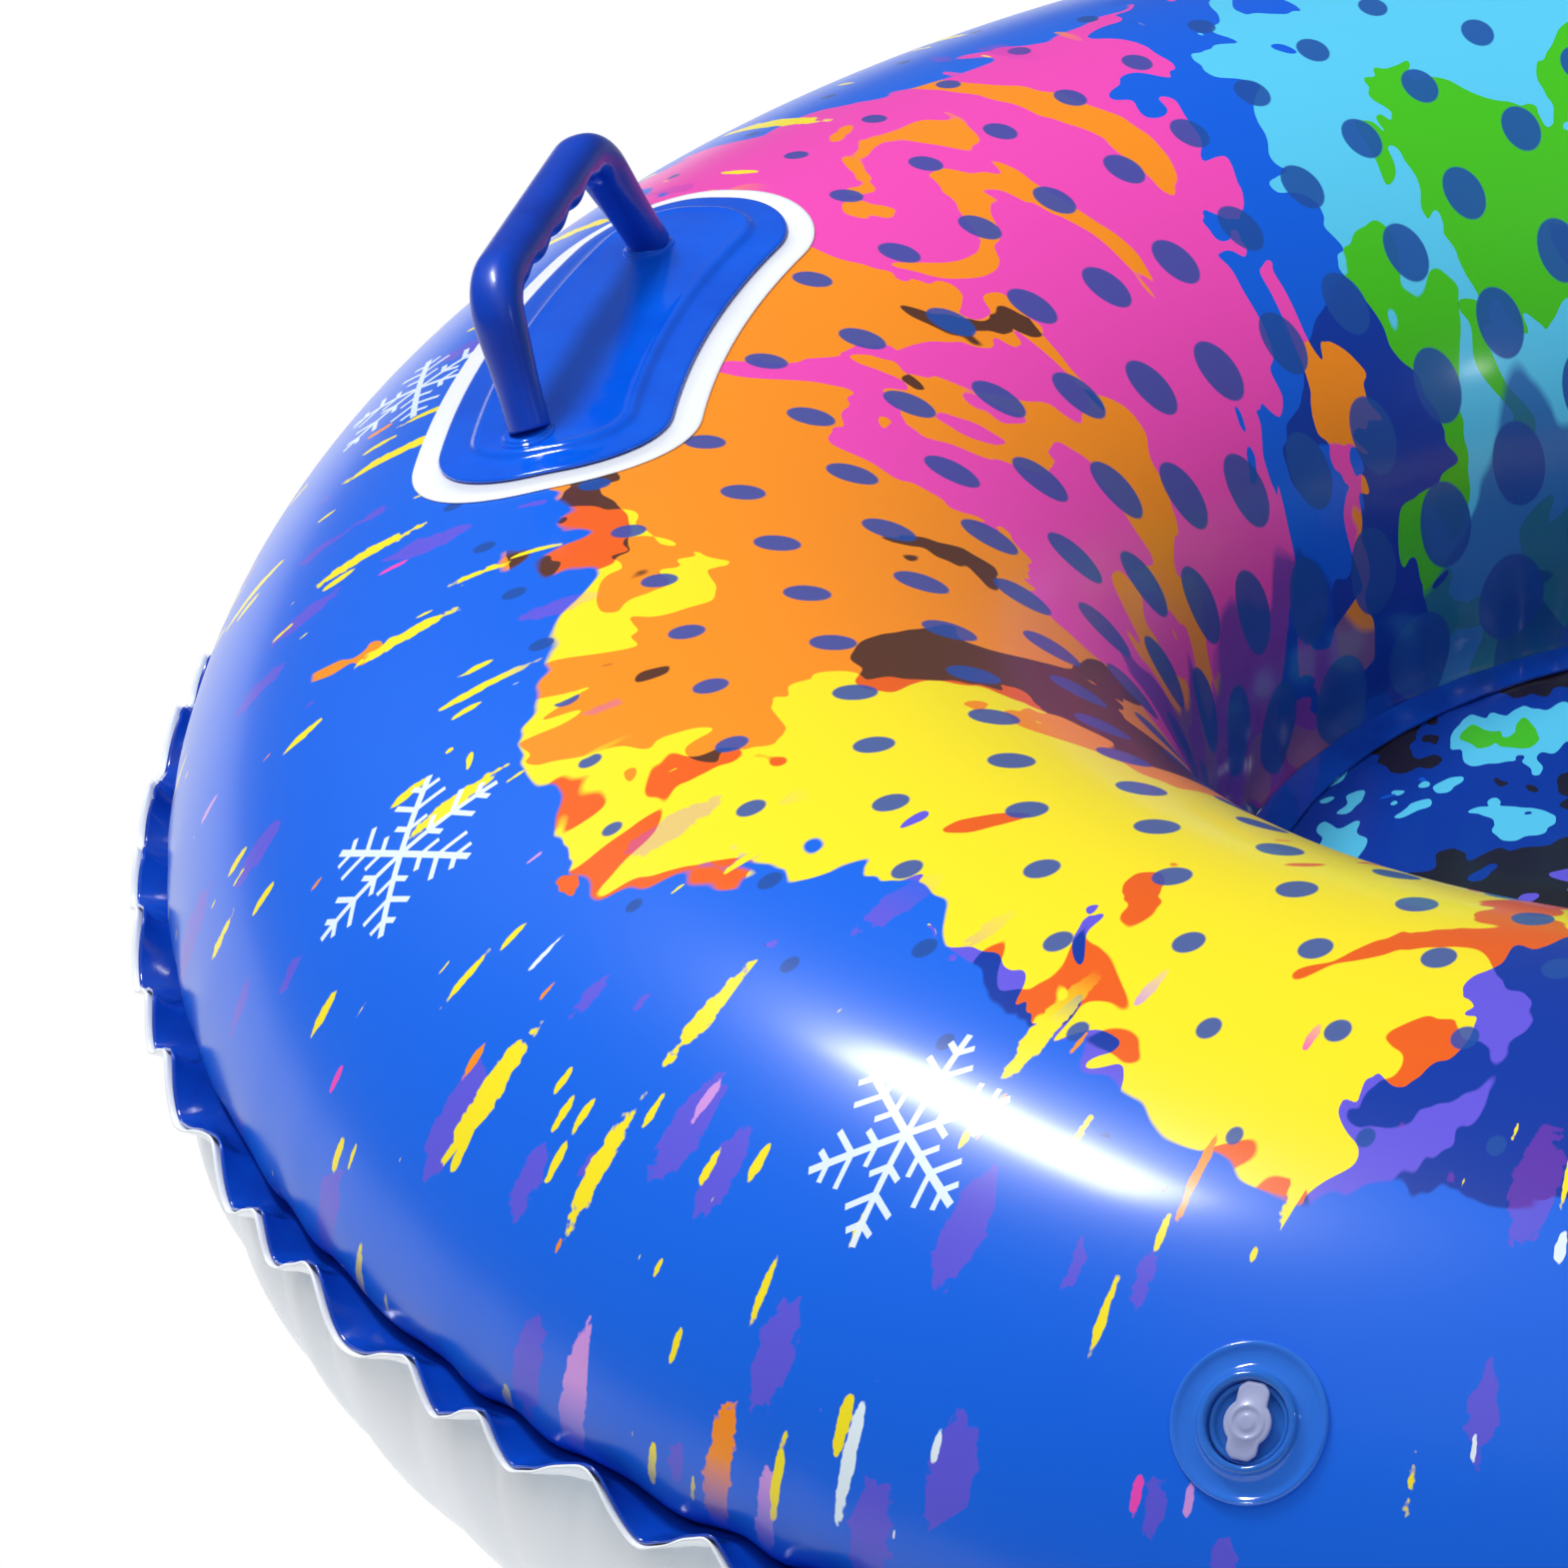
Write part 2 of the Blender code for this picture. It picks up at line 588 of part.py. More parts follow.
def make_plug(parts, cutters, finishes):
    """The plug: a round cap and tapered pin, with a pull tab one way and a strap to its hinge the other way."""
    frame = ring_frame(VALVE_ANGLE, VALVE_RISE_ANGLE)
    hinge = frame @ Matrix.Translation((PLUG_STRAP_REACH, 0, PLUG_HINGE_HEIGHT))
    cap_half = PLUG_CAP_HEIGHT / 2
    plug = cylinder("valve_plug", PLUG_CAP_RADIUS, -cap_half, cap_half, hinge, parts, finishes["plug vinyl"])
    plug.data.transform(Matrix.Translation((-PLUG_STRAP_REACH, 0, 0)))
    tab_length = PLUG_TAB_REACH + PLUG_STRAP_REACH
    bm = bmesh.new()
    bmesh.ops.create_cube(bm, size=1)
    bmesh.ops.scale(bm, vec=(tab_length, PLUG_TAB_WIDTH, PLUG_CAP_HEIGHT / 2), verts=bm.verts)
    bmesh.ops.translate(bm, vec=(-tab_length / 2, 0, 0), verts=bm.verts)
    tab = object_of("plug_tab", bm, cutters)
    tab.matrix_world = hinge
    boolean(plug, tab, "UNION")
    pin = cylinder(
        "plug_pin",
        PLUG_PIN_RADIUS,
        -PLUG_PIN_LENGTH,
        cap_half / 2,
        hinge @ Matrix.Translation((-PLUG_STRAP_REACH, 0, 0)),
        cutters,
        tip_radius=PLUG_PIN_TIP_RADIUS,
    )
    boolean(plug, pin, "UNION")


def main():
    clear_scene()
    parts = new_collection(COLLECTION_NAME)
    cutters = new_collection(CUTTER_COLLECTION_NAME)
    finishes = {
        "printed vinyl": material("printed_vinyl", (0.05, 0.17, 0.72), 0.25),
        "clear vinyl": material("clear_vinyl", (0.86, 0.89, 0.91), 0.3),
        "blue vinyl": material("blue_vinyl", (0.01, 0.08, 0.55), 0.2),
        "dark vinyl": material("dark_blue_vinyl", (0.01, 0.06, 0.42), 0.3),
        "base vinyl": material("base_blue_vinyl", (0.03, 0.2, 0.8), 0.25),
        "white vinyl": material("white_vinyl", (0.86, 0.88, 0.92), 0.3),
        "valve vinyl": material("valve_vinyl", (0.55, 0.68, 0.9), 0.2),
        "plug vinyl": material("plug_vinyl", (0.62, 0.63, 0.76), 0.3),
    }
    make_skins(parts, cutters, finishes)
    make_outer_ply("outer_seam_upper_ply", 1, parts, finishes["blue vinyl"])
    make_outer_ply("outer_seam_lower_ply", -1, parts, finishes["clear vinyl"])
    make_floor(parts, finishes)
    layers = {
        "patch": ring_layer("patch_layer", CLEARANCE, PATCH_TOP, cutters),
        "base": ring_layer("base_layer", BASE_BOTTOM, BASE_TOP, cutters),
        "panel": ring_layer("panel_layer", BASE_BOTTOM + BASE_WALL / 3, PANEL_TOP, cutters),
        "foot pad": ring_layer("pad_layer", BASE_BOTTOM + BASE_WALL / 2, BASE_TOP + TUBE_HEIGHT / 4, cutters),
        "valve": ring_layer("valve_layer", CLEARANCE, CLEARANCE + VALVE_FLANGE_WALL, cutters),
    }
    section = grip_section(cutters)
    for side, turn in (("right", 0.0), ("left", math.pi)):
        make_handle_plates(side, turn, parts, cutters, layers, finishes)
        make_grip(side, turn, section, parts, cutters, finishes)
    make_valve_flange(parts, cutters, layers, finishes)
    make_valve_stem(parts, finishes)
    make_check_flap(parts, finishes)
    make_plug(parts, cutters, finishes)


main()
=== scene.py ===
"""Looks for the inflatable snow tube: skins, ruffled welds, handles, valve, print, floor and light.

Everything is in metres, in the same frame as the solid model that the script loads.
"""

import json
import math

import bmesh
import bpy
import numpy as np
from mathutils import Matrix, Vector


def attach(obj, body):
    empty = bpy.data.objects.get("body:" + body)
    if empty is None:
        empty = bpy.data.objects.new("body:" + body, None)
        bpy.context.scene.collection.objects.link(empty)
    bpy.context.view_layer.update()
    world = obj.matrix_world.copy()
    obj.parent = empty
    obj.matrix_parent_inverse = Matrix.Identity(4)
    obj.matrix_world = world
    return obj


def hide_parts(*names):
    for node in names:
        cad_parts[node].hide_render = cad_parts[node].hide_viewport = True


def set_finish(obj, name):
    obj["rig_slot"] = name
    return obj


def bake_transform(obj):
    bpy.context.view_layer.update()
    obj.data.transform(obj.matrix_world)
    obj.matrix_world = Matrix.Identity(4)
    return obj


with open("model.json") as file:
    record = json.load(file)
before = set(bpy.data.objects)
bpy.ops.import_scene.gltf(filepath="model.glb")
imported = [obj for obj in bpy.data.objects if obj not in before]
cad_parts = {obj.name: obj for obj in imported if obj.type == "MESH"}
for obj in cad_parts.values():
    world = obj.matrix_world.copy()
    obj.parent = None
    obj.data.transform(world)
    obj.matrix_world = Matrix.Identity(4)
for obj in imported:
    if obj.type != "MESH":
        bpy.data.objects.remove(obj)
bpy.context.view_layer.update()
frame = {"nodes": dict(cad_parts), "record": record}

MM = 0.001

# The blown-up ring, with the sizes of the solid model
HOLE_RADIUS = 184 * MM
TUBE_WIDTH = 316 * MM
TUBE_HEIGHT = 266 * MM
CONTACT_FLAT_WIDTH = 50 * MM
SEAM_RISE = 5 * MM
OUTER_PINCH = 10 * MM
INNER_PINCH = 7 * MM
FLOOR_DROP = 35 * MM
FLOOR_WALL = 1.0 * MM

HALF_WIDTH = TUBE_WIDTH / 2
HALF_HEIGHT = TUBE_HEIGHT / 2
CROWN_RADIUS = HOLE_RADIUS + HALF_WIDTH
BELLY_ANGLE = math.acos(CONTACT_FLAT_WIDTH / TUBE_WIDTH)
MID_HEIGHT = HALF_HEIGHT * math.sin(BELLY_ANGLE)
OUTER_SEAM_ANGLE = math.asin(SEAM_RISE / HALF_HEIGHT)
INNER_SEAM_ANGLE = math.pi + math.asin(FLOOR_DROP / HALF_HEIGHT)
UNDER_SEAM_ANGLE = INNER_SEAM_ANGLE - 2 * math.pi
OUTER_SEAM_RADIUS = CROWN_RADIUS + HALF_WIDTH * math.cos(OUTER_SEAM_ANGLE) - OUTER_PINCH
INNER_SEAM_RADIUS = CROWN_RADIUS + HALF_WIDTH * math.cos(INNER_SEAM_ANGLE) - INNER_PINCH
FLOOR_HEIGHT = MID_HEIGHT - FLOOR_DROP

# The margins outside the outer weld, which swing up in ruffles of uneven length
MARGIN_WIDTH = 18 * MM
MARGIN_WALL = 0.7 * MM
MARGIN_START = 0.3 * MM
HALF_PLY_GAP = 0.1 * MM
WHITE_EDGE = 1.7 * MM
WELD_STRIP_SHARE = 0.12
RUFFLE_COUNT = 76
RUFFLE_START = 4.7
RUFFLE_LIFT = math.radians(19)
RUFFLE_SWING = math.radians(12)
RUFFLE_SKEW_SHARE = 0.15
RUFFLE_LIMIT_SHARES = (0.6, 1.5)
ROWS_PER_RUFFLE = 16
CRIMP_RISE = 0.25 * MM

# How the outer weld sways and how far into the sheets that fades, then the folds at both welds
SEAM_SWAY = 2.2 * MM
SEAM_SWAY_BEARING = math.radians(225)
SEAM_SWAY_FADE = 40 * MM
SCALLOP_RISE = 2.2 * MM
SCALLOP_LAG = 0.3
SCALLOP_FADE = 12 * MM
SHEET_PARTING = 0.3 * MM
SHEET_PARTING_FADE = 2 * MM
OUTER_PINCH_FADE = 6 * MM
INNER_PINCH_FADE = 8 * MM
WELD_FADE = 2.5 * MM
FOLD_TWIST_LENGTH = 60 * MM
INNER_FOLD_COUNT = 46
INNER_FOLD_RISE = 1.1 * MM
INNER_FOLD_FADE = 22 * MM
FLOOR_SAG = 3.5 * MM
FLOOR_SWELL = 1.2 * MM
FLOOR_FOLD_RISE = 0.5 * MM
FLOOR_FOLD_FADE = 14 * MM

# Folds of each skin at the outer weld: depth, reach into the sheet and seed
UPPER_FOLDS = (2.2 * MM, 10 * MM, 11)
LOWER_FOLDS = (7 * MM, 52 * MM, 21)

# The sheets as they were cut flat: the print is laid out on them before the ring is blown up
FLAT_INNER_RADIUS = 183 * MM
FLAT_OUTER_RADIUS = 600 * MM
PRINT_SPAN = 1.25

# The handles: base plate, patch round it, and grip
HANDLE_OUTSET = 34.5 * MM
BASE_HALF_LENGTH = 95 * MM
BASE_HALF_WIDTH = 35.5 * MM
BASE_CORNER = 31 * MM
MIN_CORNER = 1 * MM
HANDLE_RADIUS = CROWN_RADIUS + HANDLE_OUTSET
HANDLE_RISE_ANGLE = math.acos(HANDLE_OUTSET / HALF_WIDTH)
HINGE_HEIGHT = 11.1 * MM
GRIP_SHIFT = 10 * MM
GRIP_LEAN = math.radians(9)
FOOT_SPACING = 122 * MM
GRIP_RISE = 34.5 * MM
GRIP_LENGTH = 99 * MM
GRIP_BEND_RADIUS = 16 * MM
LEG_SIZE = (12.6 * MM, 12.0 * MM)
BAR_SIZE = (15.6 * MM, 14.6 * MM)
GRIP_SQUARENESS = 0.84
FINGER_PITCH = 18.5 * MM
FINGER_DEPTH = 2.3 * MM
FINGER_REACH = 37 * MM
FOOT_LIFT = 4.2 * MM

# Outlines as (inset, lift over the skin), from the underside of the rim to the inside
PATCH_LOOPS_MM = [(3, 0.32), (-8.5, 0.32), (-8.75, 0.6), (-8.5, 0.86), (-7.5, 0.9), (3, 0.9)]
BASE_LOOPS_MM = [
    (0.5, 1.2), (0, 1.5), (0.1, 2.0), (0.6, 2.35), (1.6, 2.45), (6.0, 2.45), (9.4, 2.5),
    (10.4, 2.85), (11.2, 3.7), (12.1, 4.3), (13.2, 4.4), (14.2, 4.05), (15.6, 3.9), (20, 3.9),
]
BASE_FILL_SHARES = (0.88, 0.74, 0.6, 0.46, 0.32, 0.18)

# Outline of the boss round a leg, as (radius, lift over the skin)
BOSS_PROFILE_MM = [
    (8.4, 2.2), (8.4, 4.1), (8.1, 4.5), (7.6, 4.65), (7.3, 4.8), (7.1, 5.3), (6.7, 5.6), (4.0, 5.6),
]

# The valve, with its outlines as (radius, lift over the skin) turned round its axis
VALVE_ANGLE = math.radians(261.8)
VALVE_RISE_ANGLE = math.radians(36)
VALVE_HOLE_RADIUS = 13.2 * MM
FLANGE_FLAT_RADIUS = 13.2 * MM
FLANGE_FADE = 2 * MM
FLANGE_PROFILE_MM = [
    (20.9, 0.35), (21.1, 0.9), (21.0, 1.7), (20.5, 2.2), (19.8, 2.2), (19.2, 1.6), (18.0, 1.1),
    (15.2, 1.1), (14.2, 1.3), (13.5, 1.9), (13.2, 2.8), (12.9, 3.3), (12.2, 3.45), (11.5, 3.3),
    (11.1, 2.8), (11.0, 2.0), (11.0, -3.9), (13.2, -3.9), (13.3, 0.2), (14.0, 0.35),
]
STEM_PROFILE_MM = [
    (4.2, 0.9), (5.0, 1.0), (5.6, 0.8), (6.0, -0.4), (6.6, -0.9), (8.6, -0.9), (9.1, -0.4),
    (9.4, 0.8), (9.9, 1.0), (10.4, 0.9), (10.7, 0.4), (10.7, -15.6), (12.4, -15.6), (12.4, -17),
    (9.4, -17), (9.4, -2.2), (5.6, -2.2), (5.6, -8), (4.2, -8),
]

# The plug: its pin and rings as (radius, lift), and its edge as (share of the outline, lift)
PLUG_CAP_RADIUS = 6.4 * MM
PLUG_HALF_TAB = 4.2 * MM
PLUG_TAB_REACH = 10.6 * MM
PLUG_STRAP_REACH = 9.8 * MM
PLUG_CLIP = 1.9 * MM
PLUG_PIN_MM = [(2.3, -2.9), (3.6, 1.35)]
PLUG_EDGE_MM_SHARES = [(0.9, 1.35), (0.985, 1.5), (1.0, 1.85), (0.985, 2.25), (0.94, 2.5), (0.86, 2.55)]
PLUG_RINGS_MM = [(4.9, 2.55), (4.6, 2.85), (3.9, 2.9), (3.6, 2.6), (2.4, 2.55), (2.1, 2.8), (1.2, 2.85)]

# Colours of the print
BLUE = (0.004, 0.115, 0.74)
BRIGHT_BLUE = (0.010, 0.15, 0.82)
DEEP_BLUE = (0.004, 0.04, 0.36)
DOT_BLUE = (0.012, 0.075, 0.36)
YELLOW = (0.95, 0.79, 0.02)
ORANGE = (0.94, 0.28, 0.015)
RED_ORANGE = (0.82, 0.12, 0.012)
MAGENTA = (0.86, 0.07, 0.48)
PURPLE = (0.13, 0.10, 0.72)
HAZE = (0.34, 0.03, 0.52)
LILAC = (0.62, 0.30, 0.75)
SKY = (0.10, 0.60, 0.90)
GREEN = (0.06, 0.54, 0.015)
LEAF = (0.02, 0.22, 0.02)
BROWN = (0.10, 0.035, 0.02)
BLACK = (0.015, 0.012, 0.022)
ICE = (0.78, 0.90, 0.98)

# The print on the flat sheet: how far out its dark middle, its patches, their drops and the dots reach
DARK_REACH = 0.245
PATCH_REACH = 0.452
DROP_REACH = 0.49
DOT_REACH = (0.20, 0.475)
DOT_PITCH = 39 * MM
DOT_RADII = (13.5 * MM, 2.2 * MM)
DOT_SHARE = 0.93
SIN_60 = math.sin(math.pi / 3)

# Each kind of fleck: cells in a turn, cells in a metre outwards, chance, size, band of radii and seed
HAZE_FLECKS = (150.0, 22.0, 0.32, 0.36, (0.43, 0.59), 9)
HAZE_SHARE = 0.32
BRIGHT_FLECKS = [
    (170.0, 13.0, 0.24, 0.29, (0.44, 0.585), 2),
    (300.0, 15.0, 0.17, 0.22, (0.45, 0.59), 5),
    (420.0, 42.0, 0.12, 0.30, (0.43, 0.59), 7),
]

# Where each colour of the print starts, as a share of the way round the ring or of a noise
PRINT_PATCH_SHARES = [
    (0.0, MAGENTA), (0.06, ORANGE), (0.13, YELLOW), (0.21, SKY), (0.30, GREEN), (0.43, SKY), (0.50, BLUE),
    (0.54, MAGENTA), (0.63, ORANGE), (0.74, YELLOW), (0.85, PURPLE), (0.91, BLUE), (0.95, SKY),
]
PRINT_BLOT_SHARES = [
    (0.0, PURPLE), (0.06, RED_ORANGE), (0.13, ORANGE), (0.21, BLUE), (0.30, LEAF), (0.43, GREEN),
    (0.50, DEEP_BLUE), (0.54, ORANGE), (0.63, BROWN), (0.74, RED_ORANGE), (0.85, DEEP_BLUE), (0.91, PURPLE),
]
PRINT_FLECK_SHARES = [(0.0, YELLOW), (0.70, ORANGE), (0.80, LILAC), (0.88, MAGENTA), (0.94, ICE)]
FLOOR_PRINT_SHARES = [
    (0.0, GREEN), (0.34, SKY), (0.385, DEEP_BLUE), (0.44, BLACK), (0.55, PURPLE), (0.62, BLACK),
]

# The ice stars, and the half widths of an arm and a branch and each branch's start and length in one
STAR_COUNT = 11
STAR_REACH = 29 * MM
STAR_BAND = (0.475, 0.53)
STAR_SHARE = 0.94
ARM_SHARE = 0.036
BRANCH_WIDTH_SHARE = 0.030
BRANCH_SHARES = ((0.30, 0.20), (0.55, 0.31), (0.80, 0.17))

# Colours of the plain pieces, each with the second shade that it has in places
CLEAR_COLOURS = ((0.82, 0.91, 1.0), (0.95, 0.97, 1.0))
MARGIN_COLOURS = ((0.003, 0.07, 0.54), (0.002, 0.03, 0.34))
GRIP_COLOURS = ((0.001, 0.055, 0.52), (0.001, 0.03, 0.36))
BASE_COLOURS = ((0.001, 0.11, 0.78), (0.001, 0.08, 0.66))
PATCH_COLOURS = ((0.90, 0.93, 0.97), (0.86, 0.90, 0.96))
VALVE_COLOURS = ((0.045, 0.26, 0.96), (0.03, 0.22, 0.9))
VALVE_OPACITY = 0.55
PLUG_COLOURS = ((0.38, 0.42, 0.66), (0.30, 0.34, 0.60))

# Studio: the floor's half width, where it mirrors as white, the dim world, and what the lamps face
STUDIO_REACH = 30.0
WHITE_GLOSS_REACH = (1.0, 1.3)
FAR_GLOSS_SHARE = 0.1
WORLD_COLOUR = (0.93, 0.96, 1.0, 1)
WORLD_STRENGTH = 0.12
LAMP_TARGET = (0, 0, 0.15)
KEY_TARGET = (-0.14, -0.39, 0.245)
KEY_ALONG = (0.472, -0.790, 0.390)
GLINT_TARGET = (-0.15, 0.17, 0.20)

# Camera
CAMERA_AZIMUTH = math.radians(9.4)
CAMERA_ELEVATION = 0.52339
CAMERA_DISTANCE = 2.56557
CAMERA_FOCAL_PX = 8446.53
CAMERA_PAN = -0.12221
CAMERA_TILT = 0.00226
CAMERA_ROLL = 0.0103
IMAGE_WIDTH_PX = 1569


def make_camera():
    """The camera that fits the photograph's outline, hole and floor, with no lens shift."""
    level = math.cos(CAMERA_ELEVATION)
    x, y = math.sin(CAMERA_AZIMUTH) * level, -math.cos(CAMERA_AZIMUTH) * level
    spot = Vector((x, y, math.sin(CAMERA_ELEVATION)))
    ahead = -spot
    right = ahead.cross(Vector((0, 0, 1))).normalized()
    up = right.cross(ahead)
    ahead, right = turn_pair(ahead, right, CAMERA_PAN)
    ahead, up = turn_pair(ahead, up, CAMERA_TILT)
    right, up = turn_pair(right, up, CAMERA_ROLL)
    data = bpy.data.cameras.new("camera")
    data.sensor_width = 36
    data.lens = CAMERA_FOCAL_PX / IMAGE_WIDTH_PX * data.sensor_width
    data.clip_end = 100
    camera = bpy.data.objects.new("camera", data)
    bpy.context.scene.collection.objects.link(camera)
    turn = Matrix((right, up, -ahead)).transposed().to_4x4()
    camera.matrix_world = Matrix.Translation(spot * CAMERA_DISTANCE + Vector((0, 0, MID_HEIGHT))) @ turn
    bpy.context.scene.camera = camera


def turn_pair(first, second, angle):
    """Two directions square to each other, both turned by an angle in their plane."""
    c, s = math.cos(angle), math.sin(angle)
    return first * c + second * s, second * c - first * s


# Meshes
def make_piece(name, verts, faces, body=None, uvs=None, closed=False):
    """A smooth mesh, which rides on a body if one is given. uvs has one pair for each face corner."""
    mesh = bpy.data.meshes.new(name)
    mesh.from_pydata([tuple(v) for v in verts], [], faces)
    if uvs is not None:
        layer = mesh.uv_layers.new(name="flat")
        layer.data.foreach_set("uv", np.asarray(uvs, dtype=np.float32).ravel())
    if closed:
        bm = bmesh.new()
        bm.from_mesh(mesh)
        bmesh.ops.recalc_face_normals(bm, faces=bm.faces)
        bm.to_mesh(mesh)
        bm.free()
    mesh.update()
    mesh.shade_smooth()
    piece = bpy.data.objects.new(name, mesh)
    bpy.context.scene.collection.objects.link(piece)
    if body is not None:
        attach(piece, body)
    return piece


def grid_faces(rows, cols, wrap_rows=True, wrap_cols=False):
    """Quads over a grid of rows by cols points, as an array of four indices each."""
    i = np.arange(rows if wrap_rows else rows - 1)
    j = np.arange(cols if wrap_cols else cols - 1)
    i, j = np.meshgrid(i, j, indexing="ij")
    ni, nj = (i + 1) % rows, (j + 1) % cols
    quads = np.stack([i * cols + j, ni * cols + j, ni * cols + nj, i * cols + nj], axis=-1)
    return quads.reshape(-1, 4)


def capped_faces(rows, cols):
    """Quads over rows of closed loops, with a flat face over the first and the last loop."""
    faces = grid_faces(rows, cols, False, True).tolist()
    faces.append(list(range(cols)))
    faces.append([(rows - 1) * cols + k for k in range(cols)])
    return faces


def ring_piece(name, points, uv=None, flip=False, hole=None):
    """An open sheet that runs once round the ring, from a grid of points by bearing and across."""
    quads = grid_faces(*points.shape[:2])
    points = points.reshape(-1, 3)
    if flip:
        quads = quads[:, ::-1]
    if hole is not None:
        points, quads = cut_round_hole(points, quads, *hole)
    corners = None if uv is None else uv.reshape(-1, 2)[quads.ravel()]
    return make_piece(name, points, quads.tolist(), "tube", corners)


def cut_round_hole(points, quads, frame_at, radius):
    """Leaves out the faces round a frame's Z axis and draws the edge that is left into a clean circle."""
    axes = np.array(frame_at.to_3x3())
    local = (points - np.array(frame_at.translation)) @ axes
    # A tenth of the depth counts too, which keeps out the sheet on the far side of the tube
    reach = np.linalg.norm(local * (1, 1, 0.1), axis=1)
    inside = reach[quads].mean(axis=1) < radius
    edge = np.intersect1d(quads[inside], quads[~inside])
    local[edge, :2] *= (radius / reach[edge])[:, None]
    return placed(local, frame_at), quads[~inside]


def round_ring(turn, radius, height):
    return np.stack([radius * np.cos(turn), radius * np.sin(turn), height], axis=-1)


def give_wall(piece, wall, side):
    shell = piece.modifiers.new("wall", "SOLIDIFY")
    shell.thickness = wall
    shell.offset = side


def ellipse_point(angle, offset=0.0):
    """Radius and height on the tube's outline at an angle from its outer side, moved out by offset."""
    nx, nz = np.cos(angle) / HALF_WIDTH, np.sin(angle) / HALF_HEIGHT
    size = np.hypot(nx, nz)
    radius = CROWN_RADIUS + HALF_WIDTH * np.cos(angle) + nx / size * offset
    height = MID_HEIGHT + HALF_HEIGHT * np.sin(angle) + nz / size * offset
    return radius, height


def wander(turn, seed, scale=1.0):
    """A smooth random wave round the ring, between about -1 and 1."""
    rng = np.random.default_rng(seed)
    total = np.zeros_like(turn)
    for count in (2, 3, 5, 7, 11, 13, 17, 23):
        share = rng.uniform(0.4, 1.0) / 4
        total = total + share * np.sin(count * turn * scale + rng.uniform(0, 2 * math.pi))
    return total


# The skins and their welds
def ruffle_phase(turn):
    """The phase of the ruffles round the ring, uneven from one to the next."""
    return RUFFLE_COUNT * turn + RUFFLE_START + 0.9 * wander(turn, 3) + 0.8 * np.sin(29 * turn + 1.3)


def ruffle_wave(phase):
    """Between -1 and 1: rises slowly and drops quickly round the ring."""
    return (np.sin(phase) - RUFFLE_SKEW_SHARE * np.sin(2 * phase)) / (1 + RUFFLE_SKEW_SHARE / 2)


def seam_sway(turn, arc, side):
    """How far the outer weld lifts the sheet, by its slow sway and its scallops, at a distance from it."""
    slow = SEAM_SWAY * np.cos(turn - SEAM_SWAY_BEARING) * np.exp(-arc / SEAM_SWAY_FADE)
    scallops = SCALLOP_RISE * ruffle_wave(ruffle_phase(turn) - SCALLOP_LAG) * np.exp(-arc / SCALLOP_FADE)
    return slow + scallops + side * SHEET_PARTING * (1 - np.exp(-arc / SHEET_PARTING_FADE))


def inner_folds(turn):
    """Between -1 and 1: the short folds round the inner weld, in the skins and in the floor alike."""
    return np.sin(INNER_FOLD_COUNT * turn + 1.5 * wander(turn, 5))


def pucker(turn, arc, depth, reach, seed):
    """Folds that run into the sheet from the weld: soft pillows between narrow valleys that die away."""
    phase = ruffle_phase(turn) + arc / FOLD_TWIST_LENGTH
    pillows = np.sqrt(np.sin(phase / 2) ** 2 + 0.05) - 0.6
    halves = np.sqrt(np.sin(phase + 0.7 * wander(turn, seed + 1)) ** 2 + 0.10) - 0.6
    crimps = np.sin(4 * phase + 3 * wander(turn, seed + 2, 3.0))
    length = reach * np.clip(1 + 0.5 * wander(turn, seed, 3.0), 0.3, 2)
    folds = pillows * np.exp(-arc / length) + 0.35 * halves * np.exp(-arc / (reach / 3))
    return depth * (folds + 0.04 * crimps * np.exp(-arc / (reach / 5)))


def skin(name, node, slot, end_angle, steps, crowding_share, folds, side):
    """One sheet of the ring, from the outer weld to the inner one, over the crown or round the belly."""
    angles = np.linspace(OUTER_SEAM_ANGLE, end_angle, 2000)
    outline = ellipse_point(angles)
    lengths = np.concatenate([[0], np.cumsum(np.hypot(np.diff(outline[0]), np.diff(outline[1])))])
    total = lengths[-1]
    share = np.linspace(0, 1, steps)
    arc = (share - crowding_share * np.sin(2 * math.pi * share)) * total
    rows = RUFFLE_COUNT * ROWS_PER_RUFFLE
    turn, arc = np.meshgrid(np.arange(rows) / rows * 2 * math.pi, arc, indexing="ij")
    inner_arc = total - arc
    rise = pucker(turn, arc, *folds)
    rise = rise + INNER_FOLD_RISE * inner_folds(turn) * np.exp(-inner_arc / INNER_FOLD_FADE)
    rise = rise * (1 - np.exp(-arc / WELD_FADE))
    radius, height = ellipse_point(np.interp(arc, lengths, angles), rise)
    radius = radius - OUTER_PINCH * np.exp(-arc / OUTER_PINCH_FADE)
    radius = radius - INNER_PINCH * np.exp(-inner_arc / INNER_PINCH_FADE)
    height = np.maximum(height + seam_sway(turn, arc, side), 0)
    flat = FLAT_OUTER_RADIUS - arc / total * (FLAT_OUTER_RADIUS - FLAT_INNER_RADIUS)
    uv = np.stack([flat * np.cos(turn), flat * np.sin(turn)], axis=-1) / PRINT_SPAN + 0.5
    hole = (skin_frame(VALVE_ANGLE, VALVE_RISE_ANGLE), VALVE_HOLE_RADIUS) if side > 0 else None
    piece = ring_piece(name, round_ring(turn, radius, height), uv, side < 0, hole)
    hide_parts(node)
    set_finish(piece, slot)
    return piece


